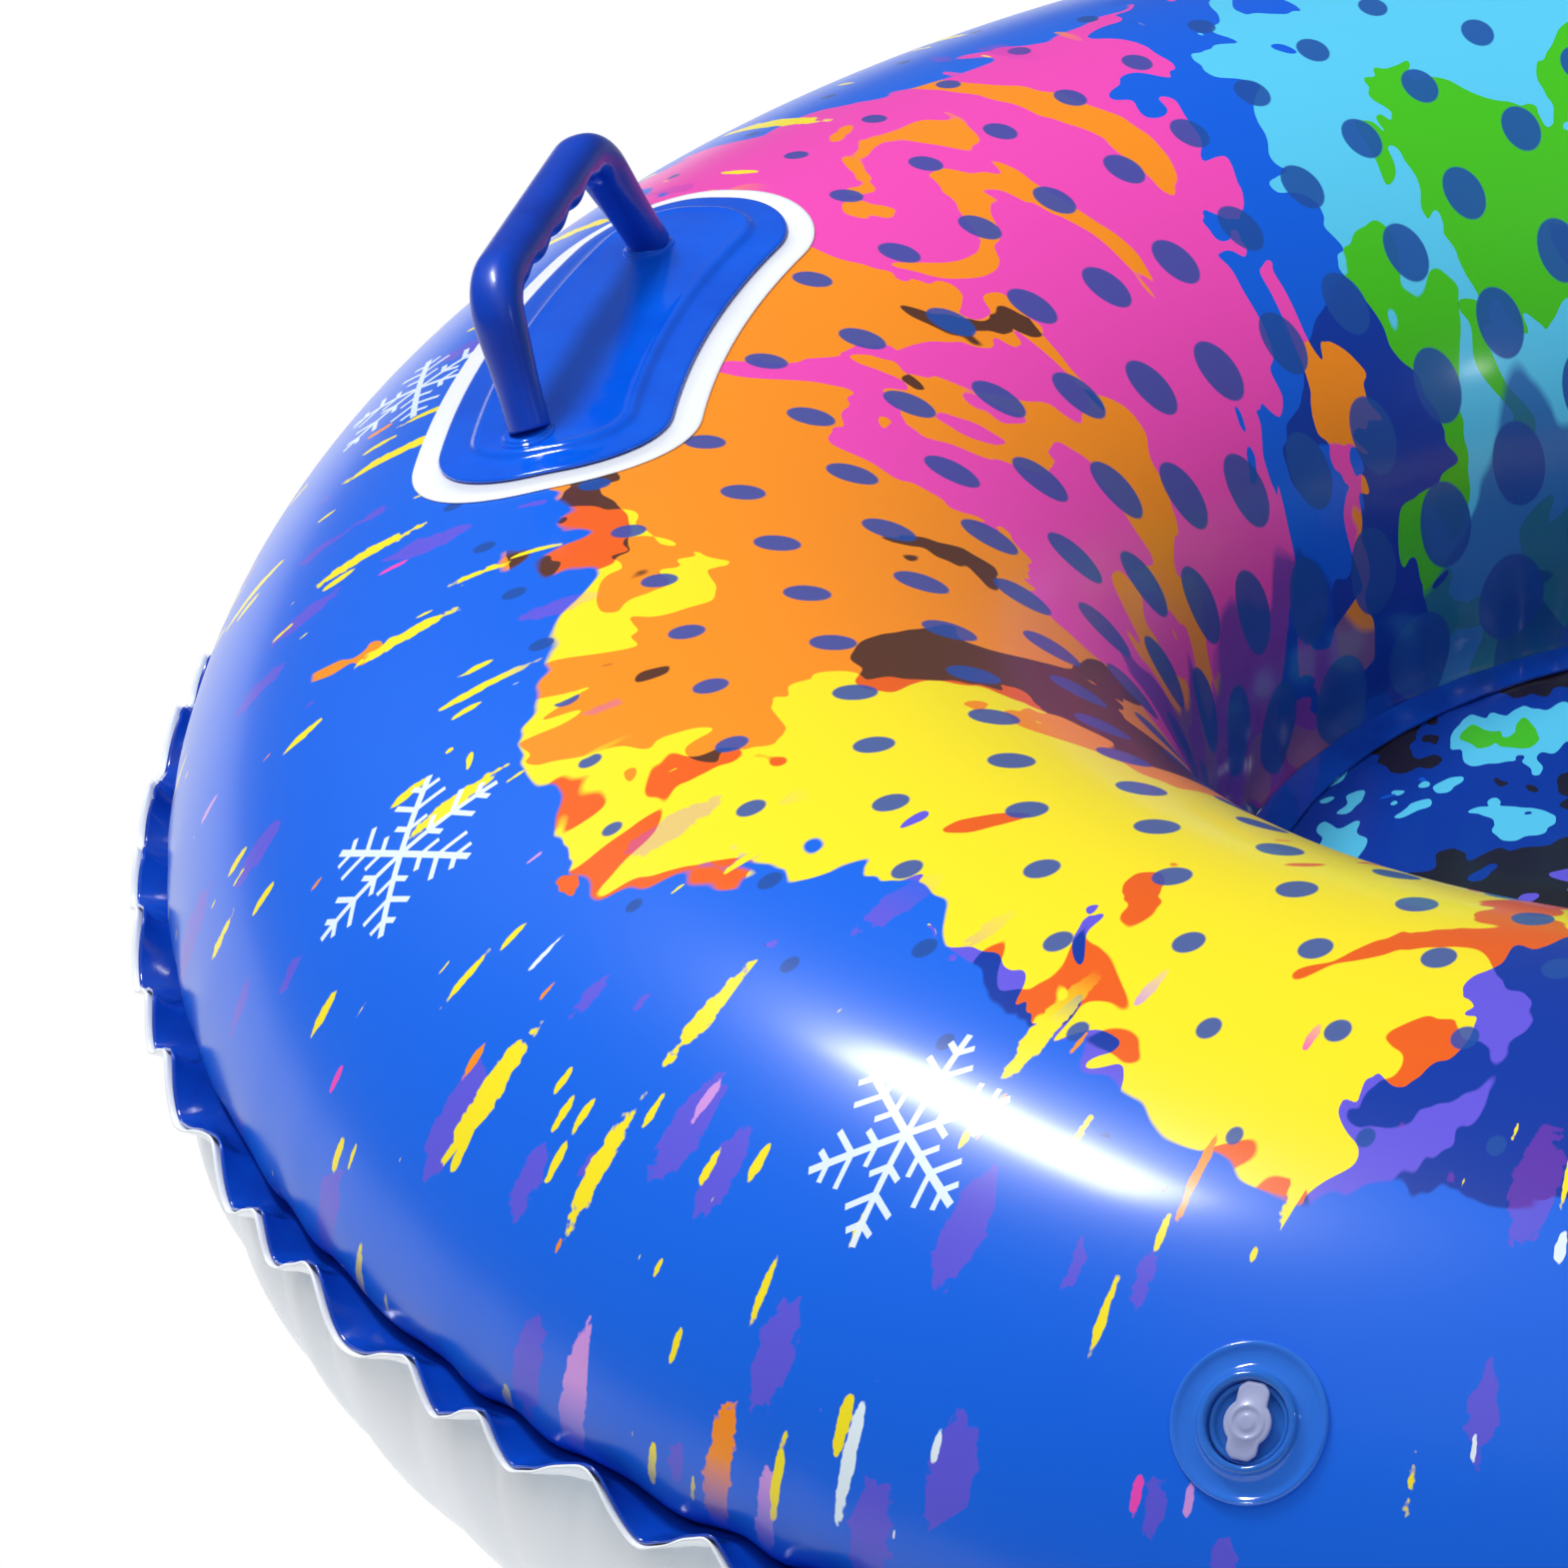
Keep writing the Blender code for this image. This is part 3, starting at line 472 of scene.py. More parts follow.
def outer_ply(name, node, side, width, slot):
    """One margin of the outer weld, turned up in ruffles from its flat welded strip."""
    rows, cols = RUFFLE_COUNT * ROWS_PER_RUFFLE * 3 // 2, 14
    turn = np.arange(rows) / rows * 2 * math.pi
    turn, w = np.meshgrid(turn, np.linspace(0, 1, cols) ** 0.8, indexing="ij")
    length_share = RUFFLE_COUNT * 2 * math.pi / rows / np.gradient(ruffle_phase(turn), axis=0)
    strength = np.clip(length_share, *RUFFLE_LIMIT_SHARES) * (1 + 0.1 * wander(turn, 8, 2.0))
    swing = np.clip((w - WELD_STRIP_SHARE) / (1 - WELD_STRIP_SHARE), 0, 1)
    tilt = (RUFFLE_LIFT + RUFFLE_SWING * strength * ruffle_wave(ruffle_phase(turn))) * swing
    reach = OUTER_SEAM_RADIUS + MARGIN_START + width * w * np.cos(tilt)
    crimp = CRIMP_RISE * np.sin(ruffle_phase(turn) * 4 + 2 * wander(turn, 9)) * swing
    weld_height = MID_HEIGHT + SEAM_RISE + seam_sway(turn, np.zeros_like(turn), 0)
    height = weld_height + width * w * np.sin(tilt) + crimp
    points = round_ring(turn, reach, height)
    along = np.roll(points, -1, axis=0) - np.roll(points, 1, axis=0)
    normal = np.cross(np.gradient(points, axis=1), along)
    normal /= np.linalg.norm(normal, axis=-1, keepdims=True)
    normal *= np.sign(normal[..., 2:3].mean())
    piece = ring_piece(name, points + normal * side * HALF_PLY_GAP, flip=True)
    give_wall(piece, MARGIN_WALL, side)
    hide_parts(node)
    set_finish(piece, slot)
    return piece


def seat_floor():
    """The printed floor, slack enough to sag a little and gathered in short wrinkles along its weld."""
    rows, cols = INNER_FOLD_COUNT * 12, 60
    turn = np.arange(rows) / rows * 2 * math.pi
    turn, s = np.meshgrid(turn, np.linspace(0.004, 1, cols) ** 0.8, indexing="ij")
    edge = (1 - s) * INNER_SEAM_RADIUS
    wrinkle = inner_folds(turn) * np.exp(-edge / FLOOR_FOLD_FADE) * (1 - np.exp(-edge / (3 * MM)))
    sag = FLOOR_SWELL * wander(turn, 15) * s * (1 - s) - FLOOR_SAG * np.cos(s * math.pi / 2)
    height = FLOOR_HEIGHT + FLOOR_WALL + sag + FLOOR_FOLD_RISE * wrinkle
    points = round_ring(turn, s * (INNER_SEAM_RADIUS - 0.3 * MM), height)
    faces = grid_faces(rows, cols)[:, ::-1].tolist()
    faces.append([row * cols for row in range(rows)])
    piece = make_piece("seat_floor_look", points.reshape(-1, 3), faces, "tube")
    give_wall(piece, FLOOR_WALL, -1)
    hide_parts("seat_floor")
    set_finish(piece, "printed_vinyl")
    return piece


# The handles
def on_skin(bearing, reach, lift):
    """Points over the upper skin at a plan bearing and reach, lifted off it."""
    radius, height = ellipse_point(np.arccos((reach - CROWN_RADIUS) / HALF_WIDTH), lift)
    return round_ring(bearing, radius, height)


def skin_frame(turn, angle):
    """A frame on the skin: Z out of it, Y along the ring and X down the slope."""
    radius, height = ellipse_point(angle)
    above = ellipse_point(angle, MM)
    out = Vector(((above[0] - radius) / MM, 0, (above[1] - height) / MM)).normalized()
    along = Vector((0, 1, 0))
    columns = Matrix((along.cross(out), along, out)).transposed().to_4x4()
    return Matrix.Rotation(turn, 4, "Z") @ Matrix.Translation((radius, 0, height)) @ columns


def placed(points, matrix):
    return points @ np.array(matrix.to_3x3()).T + np.array(matrix.translation)


def even_points(points, count, closed):
    """Points at even steps along a line of points."""
    if closed:
        points = np.concatenate([points, points[:1]])
    lengths = np.concatenate([[0], np.cumsum(np.linalg.norm(np.diff(points, axis=0), axis=1))])
    wanted = np.linspace(0, lengths[-1], count, endpoint=not closed)
    return np.stack([np.interp(wanted, lengths, points[:, k]) for k in (0, 1)], axis=-1)


def rounded_outline(half_length, half_width, corner, count=256):
    """Points at even steps round a rectangle with round corners, as along and across."""
    corner = max(corner, MIN_CORNER)
    quarter = np.linspace(0, math.pi / 2, 24)
    pieces = []
    for index, (x_sign, y_sign) in enumerate(((1, 1), (-1, 1), (-1, -1), (1, -1))):
        angles = quarter + index * math.pi / 2
        x = x_sign * (half_length - corner) + corner * np.cos(angles)
        y = y_sign * (half_width - corner) + corner * np.sin(angles)
        pieces.append(np.stack([x, y], axis=-1))
    return even_points(np.concatenate(pieces), count, True)


def plate_points(turn, loops_mm, fill_shares=()):
    """Loops of points over the skin, from a table of inset and lift, then shrunk copies of the last one."""
    rings = []
    for inset_mm, lift_mm in loops_mm:
        inset = inset_mm * MM
        outline = rounded_outline(BASE_HALF_LENGTH - inset, BASE_HALF_WIDTH - inset, BASE_CORNER - inset)
        rings.append((outline, lift_mm * MM))
    inner, lift = rings[-1]
    rings += [(inner * share, lift) for share in fill_shares]
    points = []
    for outline, lift in rings:
        bearing = turn + outline[:, 0] / HANDLE_RADIUS
        points.append(on_skin(bearing, HANDLE_RADIUS + outline[:, 1], lift))
    return np.array(points)


def patch(side, turn):
    """The white sheet piece round the base, a closed flat ring under its rim."""
    points = plate_points(turn, PATCH_LOOPS_MM)
    rows, cols = points.shape[:2]
    faces = grid_faces(rows, cols, True, True).tolist()
    piece = make_piece(side + "_patch_look", points.reshape(-1, 3), faces, "tube", closed=True)
    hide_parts(side + "_handle_patch")
    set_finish(piece, "white_vinyl")
    return piece


def hinge_frame(turn):
    """The frame on the line that a grip folds about, leaning outwards with the grip."""
    middle = skin_frame(turn, HANDLE_RISE_ANGLE) @ Matrix.Translation((0, GRIP_SHIFT, HINGE_HEIGHT))
    return middle @ Matrix.Rotation(GRIP_LEAN, 4, "Y")


def leg_ends():
    """Where the two slanted legs reach the base, along and up from the hinge line."""
    drop = HINGE_HEIGHT - FOOT_LIFT
    spread = FOOT_SPACING / 2 + drop * (FOOT_SPACING - GRIP_LENGTH) / 2 / GRIP_RISE
    return spread, -drop


def base(side, turn):
    """The moulded plate with a step and a soft ridge inside its rim, and a stepped boss round each leg."""
    points = plate_points(turn, BASE_LOOPS_MM, BASE_FILL_SHARES)
    rows, cols = points.shape[:2]
    faces = capped_faces(rows, cols)
    verts = points.reshape(-1, 3)
    spread, drop = leg_ends()
    for end in (-1, 1):
        foot = hinge_frame(turn) @ Vector((0, end * spread, drop))
        reach = math.hypot(foot.x, foot.y)
        boss_frame = skin_frame(math.atan2(foot.y, foot.x), math.acos((reach - CROWN_RADIUS) / HALF_WIDTH))
        boss = turned_points(BOSS_PROFILE_MM, boss_frame)
        faces += [[corner + len(verts) for corner in face] for face in capped_faces(*boss.shape[:2])]
        verts = np.concatenate([verts, boss.reshape(-1, 3)])
    piece = make_piece(side + "_base_look", verts, faces, "tube", closed=True)
    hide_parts(side + "_handle_base")
    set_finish(piece, "base_blue_vinyl")
    return piece


def rounded_route(corners, radius):
    """Points along straight runs with round bends between them, in the along and up plane."""
    points = [np.array(corners[0])]
    for before, here, after in zip(corners, corners[1:], corners[2:]):
        here = np.array(here)
        back, ahead = np.array(before) - here, np.array(after) - here
        back, ahead = back / np.linalg.norm(back), ahead / np.linalg.norm(ahead)
        half = math.acos(float(np.clip(back @ ahead, -1, 1))) / 2
        middle = (back + ahead) / np.linalg.norm(back + ahead)
        centre = here + middle * radius / math.sin(half)
        spokes = [here + way * radius / math.tan(half) - centre for way in (back, ahead)]
        start, end = (math.atan2(spoke[1], spoke[0]) for spoke in spokes)
        swing = (end - start + math.pi) % (2 * math.pi) - math.pi
        angles = start + swing * np.linspace(0, 1, 15)
        points += list(centre + radius * np.stack([np.cos(angles), np.sin(angles)], axis=-1))
    points.append(np.array(corners[-1]))
    return np.array(points)


def grip(side, turn):
    """The moulded grip: slanted legs that run into the base, and a thicker bar with finger scallops."""
    spread, drop = leg_ends()
    bend = GRIP_LENGTH / 2
    corners = [(-spread, drop), (-bend, GRIP_RISE), (bend, GRIP_RISE), (spread, drop)]
    route = even_points(rounded_route(corners, GRIP_BEND_RADIUS), 190, False)
    tangent = np.gradient(route, axis=0)
    tangent /= np.linalg.norm(tangent, axis=1, keepdims=True)
    outward = np.stack([-tangent[:, 1], tangent[:, 0]], axis=-1)
    around = np.arange(44) / 44 * 2 * math.pi
    waves = (np.cos(around), np.sin(around))
    c, s = (np.sign(wave) * np.abs(wave) ** GRIP_SQUARENESS for wave in waves)
    rise = np.clip(route[:, 1] / (GRIP_RISE - 4 * MM), 0, 1)
    rise = rise * rise * (3 - 2 * rise)
    half_across, half_deep = ((leg + (bar - leg) * rise) / 2 for leg, bar in zip(LEG_SIZE, BAR_SIZE))
    fingers = 0.5 - 0.5 * np.cos(2 * math.pi * route[:, 0] / FINGER_PITCH)
    fingers = fingers * np.clip((FINGER_REACH - np.abs(route[:, 0])) / (3 * MM), 0, 1)
    fingers = fingers * (route[:, 1] > GRIP_RISE / 2)
    scallop = FINGER_DEPTH * fingers[:, None] * np.clip(-s, 0, 1)[None, :]
    depth = half_deep[:, None] * s[None, :] + scallop
    across = half_across[:, None] * c[None, :]
    along, up = (route[:, k, None] + outward[:, k, None] * depth for k in (0, 1))
    local = np.stack([across, along, up], axis=-1)
    points = placed(local.reshape(-1, 3), hinge_frame(turn))
    piece = make_piece(side + "_grip_look", points, capped_faces(*local.shape[:2]), closed=True)
    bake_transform(piece)
    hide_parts(side + "_handle_grip")
    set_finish(piece, "dark_blue_vinyl")
    return piece


# The valve
def turned_points(profile_mm, frame_at, follow_from=None, count=72):
    """Loops of points round a frame's Z axis. Past the radius follow_from they follow the upper skin."""
    around = np.arange(count) / count * 2 * math.pi
    slope = math.hypot(HALF_WIDTH * math.sin(VALVE_RISE_ANGLE), HALF_HEIGHT * math.cos(VALVE_RISE_ANGLE))
    rings = []
    for radius_mm, lift_mm in profile_mm:
        radius, lift = radius_mm * MM, lift_mm * MM
        x, y = radius * np.cos(around), radius * np.sin(around)
        ring = placed(np.stack([x, y, np.full(count, lift)], axis=-1), frame_at)
        if follow_from is not None and radius > follow_from:
            on_radius, height = ellipse_point(VALVE_RISE_ANGLE - x / slope, lift)
            skin_ring = round_ring(VALVE_ANGLE + y / on_radius, on_radius, height)
            share = min(1.0, (radius - follow_from) / FLANGE_FADE)
            ring = ring * (1 - share) + skin_ring * share
        rings.append(ring)
    return np.array(rings)


def valve_part(name, node, profile_mm, body, follow_from=None):
    points = turned_points(profile_mm, skin_frame(VALVE_ANGLE, VALVE_RISE_ANGLE), follow_from)
    rows, cols = points.shape[:2]
    faces = grid_faces(rows, cols, True, True).tolist()
    piece = make_piece(name, points.reshape(-1, 3), faces, body, closed=True)
    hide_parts(node)
    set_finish(piece, "valve_vinyl")
    return piece


def plug():
    """The plug: a cap with rings on it, a pull tab one way and a strap the other, over a tapered pin."""
    around = np.arange(144) / 144 * 2 * math.pi
    c, s = (np.maximum(np.abs(wave), 1e-6) for wave in (np.cos(around), np.sin(around)))
    length = np.where(np.cos(around) > 0, PLUG_STRAP_REACH, PLUG_TAB_REACH)
    clipped = (length + PLUG_HALF_TAB - PLUG_CLIP) / (c + s)
    bar = np.minimum(np.minimum(PLUG_HALF_TAB / s, length / c), clipped)
    reach = np.maximum(bar, PLUG_CAP_RADIUS)
    reach = (np.roll(reach, 1) + 2 * reach + np.roll(reach, -1)) / 4
    circle = np.stack([np.cos(around), np.sin(around)], axis=-1)
    layers = [(circle * radius * MM, lift) for radius, lift in PLUG_PIN_MM]
    layers += [(circle * reach[:, None] * share, lift) for share, lift in PLUG_EDGE_MM_SHARES]
    layers += [(circle * radius * MM, lift) for radius, lift in PLUG_RINGS_MM]
    local = np.array([np.column_stack([xy, np.full(len(xy), lift * MM)]) for xy, lift in layers])
    points = placed(local.reshape(-1, 3), skin_frame(VALVE_ANGLE, VALVE_RISE_ANGLE))
    piece = make_piece("valve_plug_look", points, capped_faces(*local.shape[:2]), "valve_plug", closed=True)
    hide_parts("valve_plug")
    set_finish(piece, "plug_vinyl")
    return piece


# Shader nodes
class Paint:
    """One material and short ways to add nodes to it."""

    def __init__(self, name, roughness=0.3, colour=(0.8, 0.8, 0.8), coat=0.0, coat_roughness=0.1):
        self.material = bpy.data.materials.new(name)
        self.material.use_nodes = True
        self.tree = self.material.node_tree
        self.shader = self.tree.nodes["Principled BSDF"]
        self.set("Roughness", roughness)
        self.set("Base Color", (*colour, 1))
        self.set("Coat Weight", coat)
        self.set("Coat Roughness", coat_roughness)

    def set(self, socket, value):
        self.feed(self.shader.inputs[socket], value)

    def feed(self, socket, value):
        if isinstance(value, bpy.types.NodeSocket):
            self.tree.links.new(value, socket)
        else:
            socket.default_value = value

    def node(self, kind, inputs=None, **options):
        """A new node with its options set and its inputs fed by name or number."""
        node = self.tree.nodes.new("ShaderNode" + kind)
        for option, value in options.items():
            setattr(node, option, value)
        for socket, value in (inputs or {}).items():
            self.feed(node.inputs[socket], value)
        return node

    def math(self, operation, *values):
        return self.node("Math", dict(enumerate(values)), operation=operation).outputs[0]

    def mix(self, share, low, high):
        """The colour low where share is 0, and high where it is 1."""
        low, high = ((*item, 1) if isinstance(item, tuple) else item for item in (low, high))
        return self.node("Mix", {0: share, 6: low, 7: high}, data_type="RGBA").outputs[2]

    def noise(self, vector, scale, detail=2.0, roughness=0.5, distortion=0.0):
        inputs = {
            "Vector": vector,
            "Scale": scale,
            "Detail": detail,
            "Roughness": roughness,
            "Distortion": distortion,
        }
        return self.node("TexNoise", inputs).outputs["Fac"]

    def vector(self, x, y, z=0.0):
        return self.node("CombineXYZ", {0: x, 1: y, 2: z}).outputs[0]

    def split(self, vector):
        return self.node("SeparateXYZ", {0: vector}).outputs

    def range(self, value, low, high, to_low=0.0, to_high=1.0):
        return self.node("MapRange", dict(enumerate((value, low, high, to_low, to_high)))).outputs[0]

    def step(self, value, edge, soft=0.0008):
        """1 where value is over edge, with a thin soft border."""
        return self.range(value, edge - soft, edge + soft)

    def object_space(self):
        return self.node("TexCoord").outputs["Object"]

    def sway(self, vector, *noise):
        """A noise that swings both ways about zero."""
        return self.math("SUBTRACT", self.noise(vector, *noise), 0.5)

    def total(self, first, *terms):
        """first plus each value times its weight."""
        for value, weight in terms:
            first = self.math("MULTIPLY_ADD", value, weight, first)
        return first

    def bump(self, height, strength, distance):
        bump = self.node("Bump", {"Strength": strength, "Distance": distance, "Height": height})
        self.set("Normal", bump.outputs[0])

    def ramp(self, value, stops):
        node = self.node("ValToRGB", {0: value})
        node.color_ramp.interpolation = "CONSTANT"
        elements = node.color_ramp.elements
        while len(elements) > 1:
            elements.remove(elements[-1])
        elements[0].position = stops[0][0]
        elements[0].color = (*stops[0][1], 1)
        for place, colour in stops[1:]:
            elements.new(place).color = (*colour, 1)
        return node.outputs[0]

    def vinyl_surface(self, where, low, high):
        """The slow unevenness of blown-up sheet vinyl, in its gloss and its surface."""
        self.set("Roughness", self.range(self.noise(where, 14.0, 1.0), 0, 1, low, high))
        self.bump(self.noise(where, 7.0, 0.0), 0.15, 0.004)


class Print(Paint):
    """A print laid out on the flat sheet, with the patches, dots, flecks and ice stars that it can hold."""

    def __init__(self, name, *finish):
        super().__init__(name, *finish)
        x, y, _ = self.split(self.node("UVMap", uv_map="flat").outputs[0])
        self.x = self.math("MULTIPLY", self.math("SUBTRACT", x, 0.5), PRINT_SPAN)
        self.y = self.math("MULTIPLY", self.math("SUBTRACT", y, 0.5), PRINT_SPAN)
        self.flat = self.vector(self.x, self.y)
        self.r = self.length(self.x, self.y)
        turn = self.math("DIVIDE", self.math("ARCTAN2", self.y, self.x), 2 * math.pi)
        self.turn = self.math("FRACT", self.math("ADD", turn, 1.0))

    def length(self, x, y):
        return self.math("SQRT", self.math("ADD", self.math("MULTIPLY", x, x), self.math("MULTIPLY", y, y)))

    def between(self, low, high, soft=0.01):
        """1 where the flat radius lies between two values."""
        below = self.range(self.r, high - soft, high + soft, 1.0, 0.0)
        return self.math("MULTIPLY", self.step(self.r, low, soft), below)

    def dots(self, pitch, sizes, reach):
        """Rows of round dots whose radius runs between two sizes over a range of radii."""
        row = self.math("DIVIDE", self.y, pitch * SIN_60)
        shift = self.math("FRACT", self.math("MULTIPLY", self.math("FLOOR", row), 0.5))
        column = self.math("ADD", self.math("DIVIDE", self.x, pitch), shift)
        cx = self.math("SUBTRACT", self.math("FRACT", column), 0.5)
        cy = self.math("MULTIPLY", self.math("SUBTRACT", self.math("FRACT", row), 0.5), SIN_60)
        gap = self.math("MULTIPLY", self.length(cx, cy), pitch)
        size = self.range(self.r, *reach, *sizes)
        inside = self.range(self.math("SUBTRACT", size, gap), -0.0003, 0.0003)
        return self.math("MULTIPLY", inside, self.math("LESS_THAN", self.r, reach[1]))

    def flecks(self, around, outward, chance, size, band, seed):
        """Ragged flecks that point outwards, one to a cell at most, and a random value for each."""
        place = self.vector(self.math("MULTIPLY", self.turn, around), self.math("MULTIPLY", self.r, outward))
        shift = (seed * 7.3, seed * 3.1, 0)
        moved = self.node("VectorMath", {0: place, 1: shift}, operation="ADD").outputs[0]
        rough = self.sway(self.flat, 190.0, 2.0, 0.6)
        inputs = {"Vector": moved, "Scale": 1.0, "Randomness": 0.95}
        cell = self.node("TexVoronoi", inputs, voronoi_dimensions="2D")
        draw, kind, _ = self.split(cell.outputs["Color"])
        room = self.math("MULTIPLY", self.math("SUBTRACT", draw, 1 - chance), size / chance)
        ragged = self.total(cell.outputs["Distance"], (rough, size))
        inside = self.range(self.math("SUBTRACT", room, ragged), -0.012, 0.012)
        return self.math("MULTIPLY", inside, self.between(*band)), kind

    def ice_stars(self, count, half_span, near, far):
        """Plain six-armed stars round the ring, each turned and placed at random in its own share of it."""
        sector = self.math("MULTIPLY", self.turn, float(count))
        white = self.node("TexWhiteNoise", {"W": self.math("FLOOR", sector)}, noise_dimensions="1D")
        side, out, spin = self.split(white.outputs["Color"])
        middle = self.range(side, 0, 1, 0.35, 0.65)
        local_turn = self.math("SUBTRACT", self.math("FRACT", sector), middle)
        x = self.math("MULTIPLY", self.math("MULTIPLY", local_turn, 2 * math.pi / count), self.r)
        y = self.math("SUBTRACT", self.r, self.range(out, 0, 1, near, far))
        bearing = self.math("ADD", self.math("ARCTAN2", y, x), self.math("MULTIPLY", spin, 2.0))
        fold = self.math("PINGPONG", self.math("ADD", bearing, 20 * math.pi), math.pi / 6)
        reach = self.length(x, y)
        u = self.math("MULTIPLY", reach, self.math("COSINE", fold))
        v = self.math("MULTIPLY", reach, self.math("SINE", fold))
        arm = self.math("LESS_THAN", v, half_span * ARM_SHARE)
        star = self.math("MULTIPLY", arm, self.math("LESS_THAN", u, half_span))
        for start_share, length_share in BRANCH_SHARES:
            du = self.math("SUBTRACT", u, half_span * start_share)
            off = self.math("ABSOLUTE", self.total(0.0, (du, SIN_60), (v, -0.5)))
            along = self.total(0.0, (du, 0.5), (v, SIN_60))
            branch = self.math("LESS_THAN", off, half_span * BRANCH_WIDTH_SHARE)
            branch = self.math("MULTIPLY", branch, self.math("LESS_THAN", along, half_span * length_share))
            branch = self.math("MULTIPLY", branch, self.math("GREATER_THAN", along, 0.0))
            star = self.math("MAXIMUM", star, branch)
        return star


def print_material():
    """Vinyl printed in flat colours: a ring of patches, rows of dots, flecks and plain ice stars on blue."""
    p = Print("printed_vinyl_look", 0.34, BLUE, 0.4, 0.14)
    p.set("Specular IOR Level", 0.25)

    # Noises for the big swing of an edge, its round lobes, its outward fingers and loose spots
    broad = p.sway(p.flat, 5.5, 1.5, 0.5, 0.3)
    lobes = p.sway(p.flat, 21.0, 2.0, 0.5, 0.9)
    spokes = p.vector(p.math("MULTIPLY", p.turn, 26.0), p.math("MULTIPLY", p.r, 6.0), 1.3)
    fringe = p.sway(spokes, 1.0, 2.5, 0.55, 0.5)
    spots = p.sway(p.flat, 30.0, 2.0, 0.5, 1.2)
    blots = p.sway(p.vector(p.y, p.x, 3.7), 12.0, 2.0, 0.5, 1.0)

    place = p.math("FRACT", p.total(p.turn, (broad, 0.30), (lobes, 0.13), (p.r, 0.35)))
    blot = p.step(p.total(blots, (lobes, 0.25)), 0.095, 0.002)
    colour = p.mix(blot, p.ramp(place, PRINT_PATCH_SHARES), p.ramp(place, PRINT_BLOT_SHARES))
    past_dark = p.step(p.total(p.r, (broad, 0.12), (blots, 0.10)), DARK_REACH, 0.002)
    colour = p.mix(past_dark, p.mix(0.75, colour, DEEP_BLUE), colour)
    edge = p.total(p.r, (broad, 0.15), (lobes, 0.06), (fringe, 0.10))
    patches = p.math("SUBTRACT", 1.0, p.step(edge, PATCH_REACH))
    near = p.math("SUBTRACT", 1.0, p.step(p.total(p.r, (broad, 0.1)), DROP_REACH))
    drops = p.math("MULTIPLY", p.step(spots, 0.205, 0.002), near)
    ground = p.mix(p.noise(p.flat, 3.0), BLUE, BRIGHT_BLUE)
    colour = p.mix(p.math("MAXIMUM", patches, drops), ground, colour)

    dots = p.dots(DOT_PITCH, DOT_RADII, DOT_REACH)
    colour = p.mix(p.math("MULTIPLY", dots, DOT_SHARE), colour, DOT_BLUE)
    haze = p.flecks(*HAZE_FLECKS)[0]
    colour = p.mix(p.math("MULTIPLY", haze, HAZE_SHARE), colour, HAZE)
    for flecks in BRIGHT_FLECKS:
        fleck, kind = p.flecks(*flecks)
        colour = p.mix(fleck, colour, p.ramp(kind, PRINT_FLECK_SHARES))
    star = p.ice_stars(STAR_COUNT, STAR_REACH, *STAR_BAND)
    colour = p.mix(p.math("MULTIPLY", star, STAR_SHARE), colour, ICE)
    p.set("Base Color", colour)
    p.vinyl_surface(p.object_space(), 0.26, 0.33)
    return p.material


def floor_print_material():
    """The seat floor's print: mostly dark patches, with a few bright ones."""
    p = Paint("floor_print_look", 0.26, BLACK, 0.25, 0.12)
    where = p.object_space()
    colour = p.ramp(p.noise(where, 7.5, 4.0, 0.6, 0.4), FLOOR_PRINT_SHARES)
    colour = p.mix(p.step(p.noise(where, 15.0, 4.0, 0.6, 0.8), 0.63, 0.002), colour, BLUE)
    p.set("Base Color", colour)
    p.vinyl_surface(where, 0.22, 0.30)
    return p.material


def clear_sheet_material():
    """Clear-white vinyl: pale and glossy, with a cloudy body."""
    p = Paint("clear_vinyl_look")
    where = p.object_space()
    p.set("Base Color", p.mix(p.noise(where, 9.0), *CLEAR_COLOURS))
    p.set("Subsurface Weight", 0.25)
    p.set("Subsurface Radius", (0.02, 0.02, 0.02))
    p.vinyl_surface(where, 0.24, 0.34)
    return p.material


def plain_vinyl(name, colours, roughness, coat=0.3):
    """Moulded or sheet vinyl in one colour, with a shade of it in patches and a faint uneven surface."""
    p = Paint(name, roughness, colours[0], coat, 0.08)
    where = p.object_space()
    p.set("Base Color", p.mix(p.range(p.noise(where, 30.0, 4.0, 0.6), 0.35, 0.75), *colours))
    gloss = p.range(p.noise(where, 60.0, 3.0), 0.3, 0.7, roughness - 0.03, roughness + 0.05)
    p.set("Roughness", gloss)
    p.bump(p.noise(where, 60.0, 2.0), 0.08, 0.0008)
    return p.material


def see_through(material, opacity):
    """Lets the print show through a clear moulding."""
    material.node_tree.nodes["Principled BSDF"].inputs["Alpha"].default_value = opacity
    return material


